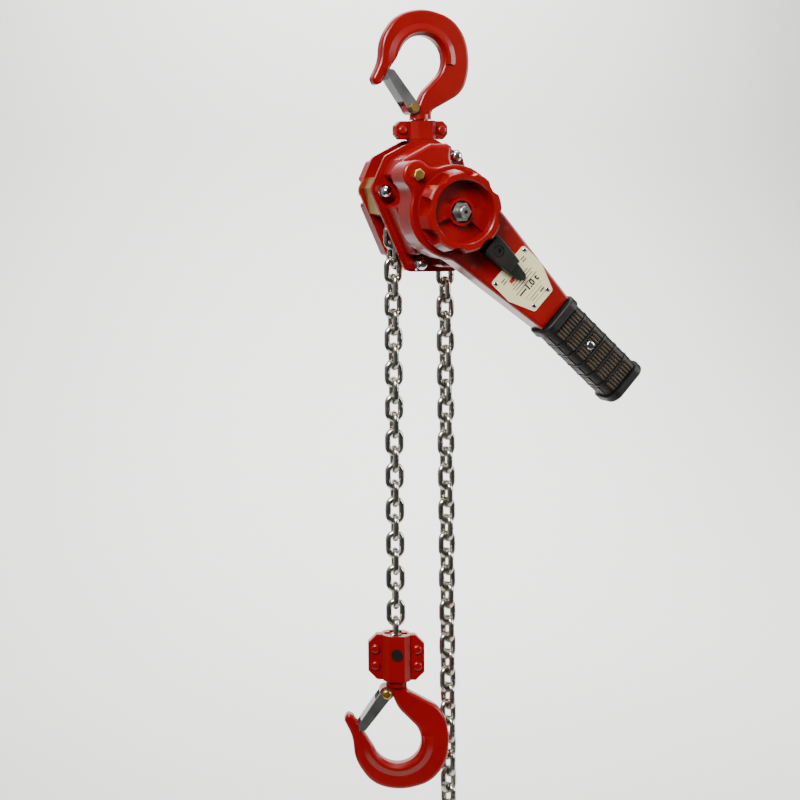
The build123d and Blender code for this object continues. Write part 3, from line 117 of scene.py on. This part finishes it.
def finish(key):
    """The procedural material of a finish, on Object coordinates: slow patches, wear and a fine grain."""
    name, shade, metallic, roughness, coat, specular, patch, darken, grain, strength = FINISHES[key]
    if name in bpy.data.materials:
        return bpy.data.materials[name]
    mat = bpy.data.materials.new(name)
    mat.use_nodes = True
    tree = mat.node_tree
    shader = tree.nodes["Principled BSDF"]
    shader.inputs["Metallic"].default_value = metallic
    shader.inputs["Specular IOR Level"].default_value = specular
    shader.inputs["Coat Weight"].default_value = coat
    shader.inputs["Coat Roughness"].default_value = COAT_ROUGHNESS
    light = list(getattr(bpy.context.scene.hoist_colours, shade))
    place = node(tree, "ShaderNodeTexCoord").outputs["Object"]
    slow = {"Vector": place, "Scale": 1 / (patch * MM), "Detail": PATCH_DETAIL}
    patches = node(tree, "ShaderNodeTexNoise", slow).outputs["Fac"]
    ramp = node(tree, "ShaderNodeValToRGB", {"Fac": patches})
    low, high = ramp.color_ramp.elements
    low.position, high.position = PATCH_DARK, PATCH_LIGHT
    low.color = [value * (1 - darken) for value in light] + [1.0]
    high.color = light + [1.0]
    tree.links.new(ramp.outputs["Color"], shader.inputs["Base Color"])
    reach = {"Value": patches, "To Min": roughness * (1 - WEAR), "To Max": roughness * (1 + WEAR)}
    span = node(tree, "ShaderNodeMapRange", reach)
    tree.links.new(span.outputs["Result"], shader.inputs["Roughness"])
    if strength > 0:
        fine = {"Vector": place, "Scale": 1 / (grain * MM), "Detail": GRAIN_DETAIL}
        height = node(tree, "ShaderNodeTexNoise", fine).outputs["Fac"]
        relief = {"Strength": strength, "Distance": GRAIN_DEPTH, "Height": height}
        rise = node(tree, "ShaderNodeBump", relief)
        tree.links.new(rise.outputs["Normal"], shader.inputs["Normal"])
    return mat


def dress(name, mat, bevel=0.0, angle=SMOOTH_UNDER):
    """Give a CAD node its material, smooth shading by angle and a small edge radius in mm."""
    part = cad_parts[name]
    part.data.materials.clear()
    part.data.materials.append(mat)
    part.data.shade_smooth()
    if bevel > 0:
        round_off = part.modifiers.new("Edges", "BEVEL")
        round_off.width = bevel * MM
        round_off.segments = 2
        round_off.limit_method = "ANGLE"
        round_off.angle_limit = angle
        round_off.use_clamp_overlap = True
    split = part.modifiers.new("Crease", "EDGE_SPLIT")
    split.split_angle = angle
    split.use_edge_sharp = False
    return part


def new_object(name, verts, faces, mat, smooth=True):
    """A mesh object in the row frame, in metres."""
    mesh = bpy.data.meshes.new(name)
    mesh.from_pydata(verts, [], faces)
    mesh.update()
    if smooth:
        mesh.shade_smooth()
    mesh.materials.append(mat)
    obj = bpy.data.objects.new(name, mesh)
    bpy.context.scene.collection.objects.link(obj)
    return obj


def baked_mesh(obj):
    """The mesh that an object's modifiers give."""
    bpy.context.view_layer.update()
    graph = bpy.context.evaluated_depsgraph_get()
    return bpy.data.meshes.new_from_object(obj.evaluated_get(graph))


def plain_copy(obj, name):
    """Turn an object with modifiers, or a text, into a plain mesh object at the origin."""
    mesh = baked_mesh(obj)
    mesh.name = name
    plain = bpy.data.objects.new(name, mesh)
    bpy.context.scene.collection.objects.link(plain)
    bpy.data.objects.remove(obj)
    return plain


def soften(obj, width, segments):
    """Round an object's edges by a width in mm and keep the result in its mesh."""
    mod = obj.modifiers.new("Edges", "BEVEL")
    mod.width = width * MM
    mod.segments = segments
    mod.limit_method = "ANGLE"
    mesh = baked_mesh(obj)
    obj.modifiers.clear()
    obj.data = mesh


def new_tree(name, inputs):
    """An empty Geometry Nodes group with named inputs: the group and its inputs' sockets."""
    group = bpy.data.node_groups.new(name, "GeometryNodeTree")
    group.interface.new_socket("Geometry", in_out="INPUT", socket_type="NodeSocketGeometry")
    for key, (kind, value) in inputs.items():
        item = group.interface.new_socket(key, in_out="INPUT", socket_type="NodeSocket" + kind)
        if value is not None:
            item.default_value = value
    group.interface.new_socket("Geometry", in_out="OUTPUT", socket_type="NodeSocketGeometry")
    return group, group.nodes.new("NodeGroupInput").outputs


def close_tree(group, geometry, material):
    """End a group in Realize Instances and Set Material, shaded smooth."""
    real = node(group, "GeometryNodeRealizeInstances", {"Geometry": geometry}).outputs[0]
    coated = node(group, "GeometryNodeSetMaterial", {"Geometry": real, "Material": material}).outputs[0]
    smooth = node(group, "GeometryNodeSetShadeSmooth", {"Geometry": coated}).outputs[0]
    group.links.new(smooth, group.nodes.new("NodeGroupOutput").inputs[0])


def run_tree(group, name, values):
    """Run a node group on an empty mesh with these inputs set by identifier: the plain result."""
    seed = bpy.data.objects.new(name + "_seed", bpy.data.meshes.new(name))
    bpy.context.scene.collection.objects.link(seed)
    mod = seed.modifiers.new("Build", "NODES")
    mod.node_group = group
    for item in group.interface.items_tree:
        if item.in_out == "INPUT" and item.name in values:
            mod[item.identifier] = values[item.name]
    return plain_copy(seed, name)


def lever_matrix(s, u, v, depth):
    """The frame at a point on the lever: x along it, y across it, z towards the front."""
    a = s.lever_angle
    x = s.sheave_x + u * cos(a) - v * sin(a)
    z = s.sheave_z + u * sin(a) + v * cos(a)
    turn = Matrix(((cos(a), -sin(a), 0), (0, 0, -1), (sin(a), cos(a), 0))).to_4x4()
    return Matrix.Translation((x, -depth, z)) @ turn


# ---- settings -------------------------------------------------------------------------------------
def length(name, text, mm):
    """A length property, given in millimetres."""
    return bpy.props.FloatProperty(
        name=name, description=text, default=mm * MM, unit="LENGTH", subtype="DISTANCE", precision=4
    )


def turn(name, text, degrees):
    """An angle property, given in degrees."""
    return bpy.props.FloatProperty(name=name, description=text, default=radians(degrees), subtype="ANGLE")


def colour(name, text, code):
    """A colour property, given as an sRGB hex code."""
    return bpy.props.FloatVectorProperty(
        name=name, description=text, default=linear(code), size=3, min=0.0, max=1.0, subtype="COLOR"
    )


class HoistSizes(bpy.types.PropertyGroup):
    """Sizes shared with the CAD frame."""

    wire: length("Wire", "Thickness of the chain's wire", 6.0)
    pitch: length("Pitch", "Inner length of one link", 18.0)
    link_width: length("Link width", "Width over one link", 20.0)
    play: length("Link play", "How much closer links hang than their pitch", 0.08)
    load_x: length("Load fall X", "Where the load fall hangs", -31.648)
    load_z: length("Load fall top", "Height of the load fall's first link", -164.5)
    load_twist: turn("Load fall twist", "Turn of the load fall's last link", -20.0)
    tail_x: length("Tail fall X", "Where the tail fall hangs", 26.9)
    tail_z: length("Tail fall top", "Height of the tail fall's first link", -168.5)
    tail_twist: turn("Tail fall twist", "Turn of the tail fall's last link", 18.0)
    straight: bpy.props.IntProperty(
        name="Straight links", description="Links at the top of a fall that don't twist", default=5, min=0
    )
    sheave_x: length("Sheave X", "Where the main shaft lies", -3.0)
    sheave_z: length("Sheave Z", "Height of the main shaft", -158.0)
    lever_angle: turn("Lever angle", "Direction of the lever from level", -43.3)
    plate_face: length("Rating plate face", "Depth of the plate's face in front of the chain", 86.8)
    arm_end: length("Grip start", "Where the grip starts along the lever", 152.0)
    grip_end: length("Grip end", "Where the grip ends along the lever", 262.0)
    collar: length("Grip collar", "Length of the plain collar at each end of the grip", 9.0)
    bands: bpy.props.IntProperty(
        name="Grip bands", description="Bands of ribs along the grip", default=6, min=1
    )
    grip_depth: length("Grip middle", "Depth of the grip's middle in front of the chain", 74.0)
    grip_w: length("Grip width", "Width of the grip across the lever", 44.0)
    grip_t: length("Grip thickness", "Thickness of the grip from front to rear", 32.0)


class HoistColours(bpy.types.PropertyGroup):
    """Base colours of the finishes."""

    enamel: colour("Enamel", "Paint on the castings, hooks and lever", "#7A0000")
    zinc: colour("Zinc", "Plating on the chain", "#BCB8AE")
    chrome: colour("Chrome", "Cap nuts and plate rivets", "#D6D8DC")
    yellow: colour("Yellow zinc", "Passivated bolts and the chain guide", "#C8A455")
    steel: colour("Machined steel", "Shafts, gears and pins", "#A5A39E")
    black: colour("Black casting", "Selector knob and chain pin", "#1E1B17")
    rubber: colour("Rubber", "Body of the grip", "#0C0A09")
    # Lighter brown of the rib tops: a painted highlight on the ribs.
    worn: colour("Worn rubber", "Tops of the grip's ribs", "#34291B")
    lining: colour("Friction lining", "Brake linings", "#6A5340")
    bronze: colour("Bronze", "Shaft bush", "#A87B3C")
    ivory: colour("Plate", "Face of the rating plate", "#E0D3A6")
    sheet: colour("Sheet steel", "Safety latches", "#8C8C8A")
    ink: colour("Print", "Lines and figures on the plate", "#0A0908")
    red_ink: colour("Red print", "Coloured mark on the plate", "#B01808")
    floor: colour("Floor", "Backdrop and floor", "#CFCFCD")


# ---- operators ------------------------------------------------------------------------------------
PAINTED = {  # CAD nodes in enamel, with their edge radius in mm
    "top_hook": 0,
    "bottom_hook": 0,
    "top_yoke_front": 0.8,
    "top_yoke_rear": 0.8,
    "top_yoke_rivets": 0,
    "front_side_plate": 0.5,
    "rear_side_plate": 0.5,
    "gear_cover": 0,
    "brake_cover": 0,
    "bottom_block_front": 0.8,
    "bottom_block_rear": 0.8,
    "bottom_block_rivets": 0,
}


class HOIST_OT_housing(bpy.types.Operator):
    """Finish the side plates, covers, fittings, hooks and their fasteners"""

    bl_idname = "hoist.housing"
    bl_label = "Housing and Hooks"

    def execute(self, context):
        for name, bevel in PAINTED.items():
            dress(name, finish("enamel"), bevel)
        for name in ("front_cap_nuts", "rear_cap_nuts"):
            dress(name, finish("chrome"), 0.4)
        for name in ("chain_guide", "chain_stripper", "top_latch_screw", "bottom_latch_screw"):
            dress(name, finish("yellow"), 0.5)
        for name in ("top_latch", "bottom_latch"):
            dress(name, finish("sheet"), 0.25)
        dress("chain_pin", finish("black"), 0.4)
        return {"FINISHED"}


MACHINED = (
    "top_pin stay_bolts stay_spacers front_bearing rear_bearing disc_gear_pins load_sheave load_gear "
    "upper_disc_gear lower_disc_gear drive_shaft friction_hub ratchet_disc pawl_pins brake_pawl_a "
    "brake_pawl_b change_gear shaft_nut selector_shaft changeover_pawl"
)


class HOIST_OT_drive(bpy.types.Operator):
    """Finish the sheave, gears, brake and hand wheel"""

    bl_idname = "hoist.drive"
    bl_label = "Drive and Brake"

    def execute(self, context):
        for name in MACHINED.split():
            dress(name, finish("steel"))
        dress("friction_plates", finish("lining"))
        dress("shaft_bush", finish("bronze"))
        dress("hand_wheel", finish("enamel"), 0.7)
        return {"FINISHED"}


class HOIST_OT_lever(bpy.types.Operator):
    """Finish the lever, its selector and its bolts"""

    bl_idname = "hoist.lever"
    bl_label = "Lever"

    def execute(self, context):
        dress("lever_front_shell", finish("enamel"))
        dress("lever_rear_shell", finish("enamel"))
        dress("lever_bolts", self.part_painted(context.scene.hoist_sizes.sheave_z), 0.4)
        dress("selector_knob", finish("black"), 0.8, radians(28))
        dress("selector_screw", finish("black"), 0.3)
        return {"FINISHED"}

    def part_painted(self, height):
        """Yellow zinc above a height and enamel below it: the arm's bolts were sprayed with the lever."""
        mat = finish("yellow").copy()
        mat.name = "Yellow zinc bolts, painted on the arm"
        tree = mat.node_tree
        shader = tree.nodes["Principled BSDF"]
        place = node(tree, "ShaderNodeTexCoord").outputs["Object"]
        high = node(tree, "ShaderNodeSeparateXYZ", {0: place}).outputs["Z"]
        bare = node(tree, "ShaderNodeMath", {0: high, 1: height}, operation="GREATER_THAN").outputs[0]
        plated = shader.inputs["Base Color"].links[0].from_socket
        paint = list(bpy.context.scene.hoist_colours.enamel) + [1.0]
        mixed = node(tree, "ShaderNodeMixRGB", {"Fac": bare, "Color1": paint, "Color2": plated}).outputs[0]
        tree.links.new(mixed, shader.inputs["Base Color"])
        tree.links.new(bare, shader.inputs["Metallic"])
        return mat


FLAT_RIBS = (9, 3.7 * MM)  # ribs side by side on the flats, and their spacing
EDGE_RIBS = (4, 4.2 * MM)
RIB_GAP = 4.2 * MM  # left free at each ridge
RIB_GROOVE = 1.1 * MM  # between two ribs
RIB_THICKNESS = 1.8 * MM
RIB_LIFT = 0.1 * MM  # middle of a rib above the grip's surface
RIB_EDGE = 0.35  # edge radius in mm


class HOIST_OT_grip(bpy.types.Operator):
    """Finish the grip and make the ribs between its ridges"""

    bl_idname = "hoist.grip"
    bl_label = "Grip"

    def execute(self, context):
        s = context.scene.hoist_sizes
        dress("lever_grip", finish("rubber"), 0.5)
        dress("grip_screw", finish("chrome"))
        tree = self.rib_tree()
        band = (s.grip_end - s.arm_end - 2 * s.collar) / s.bands
        middle = lever_matrix(s, s.arm_end + s.collar + band / 2, 0, s.grip_depth)
        sides = (
            ("grip_ribs_front", *FLAT_RIBS, s.grip_t / 2, 0),
            ("grip_ribs_rear", *FLAT_RIBS, s.grip_t / 2, 180),
            ("grip_ribs_upper", *EDGE_RIBS, s.grip_w / 2, 90),
            ("grip_ribs_lower", *EDGE_RIBS, s.grip_w / 2, -90),
        )
        for name, count, spacing, reach, degrees in sides:
            values = {
                "Count": count,
                "Across": (0.0, spacing, 0.0),
                "Bands": s.bands,
                "Along": (band, 0.0, 0.0),
                "Size": (band - RIB_GAP, spacing - RIB_GROOVE, RIB_THICKNESS),
                # The ribs' lighter colour is a painted highlight.
                "Material": finish("worn"),
            }
            ribs = run_tree(tree, name, values)
            centre = Matrix.Translation((0, -(count - 1) / 2 * spacing, reach + RIB_LIFT))
            ribs.data.transform(middle @ Matrix.Rotation(radians(degrees), 4, "X") @ centre)
            soften(ribs, RIB_EDGE, 2)
            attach(ribs, "lever")
        return {"FINISHED"}

    def rib_tree(self):
        """Node group that lays bars side by side and repeats that row along the grip."""
        inputs = {
            "Count": ("Int", 9),
            "Across": ("Vector", None),
            "Bands": ("Int", 6),
            "Along": ("Vector", None),
            "Size": ("Vector", None),
            "Material": ("Material", None),
        }
        group, given = new_tree("Grip ribs", inputs)
        bar = node(group, "GeometryNodeMeshCube", {"Size": given["Size"]}).outputs[0]
        across = {"Count": given["Count"], "Offset": given["Across"]}
        line = node(group, "GeometryNodeMeshLine", across).outputs[0]
        row = node(group, "GeometryNodeInstanceOnPoints", {"Points": line, "Instance": bar}).outputs[0]
        along = {"Count": given["Bands"], "Offset": given["Along"]}
        steps = node(group, "GeometryNodeMeshLine", along).outputs[0]
        rows = node(group, "GeometryNodeInstanceOnPoints", {"Points": steps, "Instance": row}).outputs[0]
        close_tree(group, rows, given["Material"])
        return group


# Printed bars in mm: place along the lever and across it, width across it, height along it.
BARS = (
    (96, 0, 24, 0.8),
    (99, 0, 30, 0.8),
    (102, 0, 26, 0.8),
    (105.5, 0, 32, 0.8),
    (109, -9, 10, 1.8),
    (115.5, 0, 26, 0.4),
    (119.5, 0, 20, 0.7),
    (122.5, -4, 10, 0.7),
    (122.5, 7, 6, 1.6),
    (126, 0, 26, 0.4),
    (85, 15.5, 5.5, 1.1),
    (85, -15.5, 5.5, 1.1),
    (88, 15.5, 5.5, 1.1),
    (88, -15.5, 5.5, 1.1),
)
RED_BARS = ((92, -8.5, 6, 4.0),)
PRINT_LIFT = 0.06 * MM  # print stands this far off the plate
FIGURE_SIZE, FIGURE_BOLD = 9.4 * MM, 0.42 * MM  # height of the type, and how far its strokes are swollen
FIGURES_AT = (109.5 * MM, 4.5 * MM)  # along the lever and across it


class HOIST_OT_plate(bpy.types.Operator):
    """Print the rating plate and finish its rivets"""

    bl_idname = "hoist.plate"
    bl_label = "Rating Plate"

    def execute(self, context):
        s = context.scene.hoist_sizes
        dress("name_plate", finish("plate"))
        dress("name_plate_rivets", finish("chrome"))
        self.bars("plate_lines", BARS, finish("ink"), s)
        self.bars("plate_mark", RED_BARS, finish("red_ink"), s)
        self.figures("plate_rating", "1.0 t", finish("ink"), s)
        return {"FINISHED"}

    def bars(self, name, bars, mat, s):
        """One printed piece made of bars."""
        face = lever_matrix(s, 0, 0, s.plate_face + PRINT_LIFT)
        verts, faces = [], []
        for along, across, wide, tall in bars:
            faces.append(tuple(range(len(verts), len(verts) + 4)))
            for a, b in ((-1, -1), (1, -1), (1, 1), (-1, 1)):
                corner = Vector((along + a * tall / 2, across + b * wide / 2, 0)) * MM
                verts.append(face @ corner)
        piece = new_object(name, verts, faces, mat, smooth=False)
        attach(piece, "lever")

    def figures(self, name, body, mat, s):
        """Printed figures that read with the grip to the right."""
        curve = bpy.data.curves.new(name, "FONT")
        curve.body = body
        curve.size = FIGURE_SIZE
        curve.offset = FIGURE_BOLD
        curve.align_x = "CENTER"
        curve.align_y = "CENTER"
        text = bpy.data.objects.new(name + "_text", curve)
        bpy.context.scene.collection.objects.link(text)
        piece = plain_copy(text, name)
        piece.data.materials.clear()
        piece.data.materials.append(mat)
        quarter = Matrix.Rotation(pi / 2, 4, "Z")
        piece.data.transform(lever_matrix(s, *FIGURES_AT, s.plate_face + PRINT_LIFT) @ quarter)
        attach(piece, "lever")


# Chain pieces: name, CAD node they replace, fall, first link, links, body they ride on.
FALLS = (
    ("load_links_top", "load_chain_top", "load", 0, 10, "load_fall"),
    ("load_links_middle", "load_chain_middle", "load", 10, 8, "load_fall_middle"),
    ("load_links_bottom", "load_chain_bottom", "load", 18, 8, "load_fall_lower"),
    ("tail_links_top", "tail_chain_top", "tail", 0, 18, "tail_fall"),
    ("tail_links_bottom", "tail_chain_bottom", "tail", 18, 18, "tail_fall_lower"),
)
LINKS = {"load": 26, "tail": 36}
WELD_SWELL, HALF_WELD = 0.28 * MM, 1.6 * MM


class HOIST_OT_chain(bpy.types.Operator):
    """Make the smooth chain of both falls"""

    bl_idname = "hoist.chain"
    bl_label = "Chain"

    def execute(self, context):
        s = context.scene.hoist_sizes
        link = self.link(s)
        tree = self.fall_tree()
        step = s.pitch - s.play
        for name, part, fall, first, count, body in FALLS:
            x, top, twist = (getattr(s, fall + end) for end in ("_x", "_z", "_twist"))
            values = {
                "Count": count,
                "First": first,
                "Straight": s.straight,
                "Start": (x, 0.0, top - first * step),
                "Offset": (0.0, 0.0, -step),
                "Twist": twist / (LINKS[fall] - 1 - s.straight),
                "Link": link,
                "Material": finish("zinc"),
            }
            piece = run_tree(tree, name, values)
            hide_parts(part)
            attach(piece, body)
        bpy.data.objects.remove(link)
        for name in ("sheave_chain", "tail_end_ring"):
            dress(name, finish("zinc"), 0, radians(60))
        return {"FINISHED"}

    def link(self, s):
        """One link standing in the XZ plane, swollen a little at its weld."""
        arcs, runs, ring = 14, 6, 16  # steps round a bend, along a leg and round the wire
        bend = (s.link_width - s.wire) / 2
        leg = (s.pitch + s.wire) / 2 - bend
        path = [(bend, -leg + 2 * leg * i / runs, 0.0) for i in range(runs)]
        path += [(bend * cos(a), leg + bend * sin(a), a) for a in (pi * i / arcs for i in range(arcs))]
        path += [(-x, -z, angle + pi) for x, z, angle in path]
        verts = []
        for x, z, angle in path:
            weld = max(0.0, 1 - (z / HALF_WELD) ** 2) if angle == 0.0 else 0.0
            radius = s.wire / 2 + WELD_SWELL * weld
            for k in range(ring):
                a = 2 * pi * k / ring
                out = radius * cos(a)
                verts.append((x + out * cos(angle), radius * sin(a), z + out * sin(angle)))
        faces = []
        for i in range(len(path)):
            j = (i + 1) % len(path)
            for k in range(ring):
                m = (k + 1) % ring
                faces.append((i * ring + k, j * ring + k, j * ring + m, i * ring + m))
        return new_object("link_source", verts, faces, finish("zinc"))

    def fall_tree(self):
        """Node group that hangs links in a line, each turned a quarter and then twisted a little."""
        inputs = {
            "Count": ("Int", 10),
            "First": ("Int", 0),
            "Straight": ("Int", 5),
            "Start": ("Vector", None),
            "Offset": ("Vector", None),
            "Twist": ("Float", 0.0),
            "Link": ("Object", None),
            "Material": ("Material", None),
        }
        group, given = new_tree("Chain fall", inputs)
        maths = "ShaderNodeMath"
        index = node(group, "GeometryNodeInputIndex").outputs[0]
        counted = {0: index, 1: given["First"]}
        number = node(group, maths, counted, operation="ADD").outputs[0]
        past = {0: number, 1: given["Straight"]}
        below = node(group, maths, past, operation="SUBTRACT").outputs[0]
        twisted = node(group, maths, {0: below, 1: 0.0}, operation="MAXIMUM").outputs[0]
        right = {0: number, 1: pi / 2, 2: pi / 2}
        quarters = node(group, maths, right, operation="MULTIPLY_ADD").outputs[0]
        angles = {0: twisted, 1: given["Twist"], 2: quarters}
        angle = node(group, maths, angles, operation="MULTIPLY_ADD").outputs[0]
        about = node(group, "ShaderNodeCombineXYZ", {"Z": angle}).outputs[0]
        places = {"Count": given["Count"], "Start Location": given["Start"], "Offset": given["Offset"]}
        line = node(group, "GeometryNodeMeshLine", places).outputs[0]
        shape = node(group, "GeometryNodeObjectInfo", {"Object": given["Link"]}).outputs["Geometry"]
        hung = {"Points": line, "Instance": shape, "Rotation": about}
        links = node(group, "GeometryNodeInstanceOnPoints", hung).outputs[0]
        close_tree(group, links, given["Material"])
        return group


# Lamps: name, place, what they point at, size in metres, power in watts.
MIDDLE = (0.03, -0.04, -0.3)
LAMPS = (
    ("key", (-1.2, -1.3, 1.0), MIDDLE, 0.8, 36),
    ("fill", (1.6, -1.0, 0.1), MIDDLE, 1.0, 12),
    ("top", (0.1, 0.2, 1.5), MIDDLE, 1.0, 14),
    ("backdrop_wash", (1.0, 1.2, 1.9), (1.0, 2.4, -0.4), 2.0, 165),
)
LAMP_SPREAD = radians(110)
FLOOR_Z = -1.15
FLOOR_LEFT, FLOOR_RIGHT, FLOOR_FRONT, FLOOR_BACK, WALL_TOP = -0.55, 3.6, -0.7, 2.5, 3.0
FLOOR_BEND, BEND_STEPS = 1.2, 12
CAMERA_AT = (-0.65132226, -1.41876957, -0.15132673)
CAMERA_RIGHT = (0.97156775, -0.23633456, -0.01421557)
CAMERA_UP = (0.02170326, 0.02911123, 0.99934054)
CAMERA_AHEAD = (0.23576488, 0.97123556, -0.03341276)
CAMERA_SENSOR, CAMERA_LENS, CAMERA_SHIFT = 36.0, 66.05, (0.3307, -0.1765)
CAMERA_NEAR = 0.05
SKY_BRIGHT = (-0.1, 0.5, 0.86)  # direction of the studio's brightest part
SKY_STRENGTH = {"From Min": -0.5, "From Max": 0.8, "To Min": 0.06, "To Max": 0.5}


class HOIST_OT_stage(bpy.types.Operator):
    """Set the floor, the lights and the camera"""

    bl_idname = "hoist.stage"
    bl_label = "Stage"

    def execute(self, context):
        self.backdrop()
        context.scene.world = self.sky()
        for name, spot, aim, size, power in LAMPS:
            self.lamp(name, Vector(spot), Vector(aim), size, power)
        context.scene.camera = self.camera()
        return {"FINISHED"}

    def backdrop(self):
        """A floor that bends up into a wall."""
        profile = [(FLOOR_FRONT, FLOOR_Z)]
        for i in range(BEND_STEPS + 1):
            a = pi / 2 * i / BEND_STEPS
            y = FLOOR_BACK - FLOOR_BEND + FLOOR_BEND * sin(a)
            profile.append((y, FLOOR_Z + FLOOR_BEND - FLOOR_BEND * cos(a)))
        profile.append((FLOOR_BACK, WALL_TOP))
        verts = [(x, y, z) for y, z in profile for x in (FLOOR_LEFT, FLOOR_RIGHT)]
        faces = [(2 * i, 2 * i + 1, 2 * i + 3, 2 * i + 2) for i in range(len(profile) - 1)]
        return new_object("backdrop", verts, faces, finish("paper"))

    def lamp(self, name, spot, aim, size, power):
        """A square soft box that points at a place."""
        light = bpy.data.lights.new(name, "AREA")
        light.size = size
        light.energy = power
        light.spread = LAMP_SPREAD
        box = bpy.data.objects.new(name, light)
        box.location = spot
        box.rotation_euler = (aim - spot).to_track_quat("-Z", "Y").to_euler()
        bpy.context.scene.collection.objects.link(box)

    def camera(self):
        """The view from the front left, with its frame shifted."""
        data = bpy.data.cameras.new("view")
        data.sensor_width = CAMERA_SENSOR
        data.lens = CAMERA_LENS
        data.shift_x, data.shift_y = CAMERA_SHIFT
        data.clip_start = CAMERA_NEAR
        camera = bpy.data.objects.new("view", data)
        axes = (Vector(CAMERA_RIGHT), Vector(CAMERA_UP), -Vector(CAMERA_AHEAD))
        camera.matrix_world = Matrix.Translation(CAMERA_AT) @ Matrix(axes).transposed().to_4x4()
        bpy.context.scene.collection.objects.link(camera)
        return camera

    def sky(self):
        """A studio that is dark in front and below and bright above and behind."""
        world = bpy.data.worlds.new("Studio")
        world.use_nodes = True
        tree = world.node_tree
        place = node(tree, "ShaderNodeTexCoord").outputs["Generated"]
        facing = {0: place, 1: SKY_BRIGHT}
        towards = node(tree, "ShaderNodeVectorMath", facing, operation="DOT_PRODUCT").outputs["Value"]
        strength = node(tree, "ShaderNodeMapRange", {"Value": towards, **SKY_STRENGTH}).outputs["Result"]
        background = tree.nodes["Background"]
        background.inputs["Color"].default_value = (1.0, 1.0, 1.0, 1.0)
        tree.links.new(strength, background.inputs["Strength"])
        return world


# ---- add-on ---------------------------------------------------------------------------------------
OPERATORS = (
    HOIST_OT_housing,
    HOIST_OT_drive,
    HOIST_OT_lever,
    HOIST_OT_grip,
    HOIST_OT_plate,
    HOIST_OT_chain,
    HOIST_OT_stage,
)


class HOIST_PT_panel(bpy.types.Panel):
    """The hoist's operators in the sidebar"""

    bl_idname = "HOIST_PT_panel"
    bl_label = "Lever Chain Hoist"
    bl_space_type = "VIEW_3D"
    bl_region_type = "UI"
    bl_category = "Hoist"

    def draw(self, context):
        for cls in OPERATORS:
            self.layout.operator(cls.bl_idname)


CLASSES = (HoistSizes, HoistColours, *OPERATORS, HOIST_PT_panel)


def register():
    for cls in CLASSES:
        bpy.utils.register_class(cls)
    bpy.types.Scene.hoist_sizes = bpy.props.PointerProperty(type=HoistSizes)
    bpy.types.Scene.hoist_colours = bpy.props.PointerProperty(type=HoistColours)


def unregister():
    del bpy.types.Scene.hoist_colours
    del bpy.types.Scene.hoist_sizes
    for cls in reversed(CLASSES):
        bpy.utils.unregister_class(cls)


def main():
    register()
    for name in ("housing", "drive", "lever", "grip", "plate", "chain", "stage"):
        getattr(bpy.ops.hoist, name)()


if __name__ == "__main__":
    main()
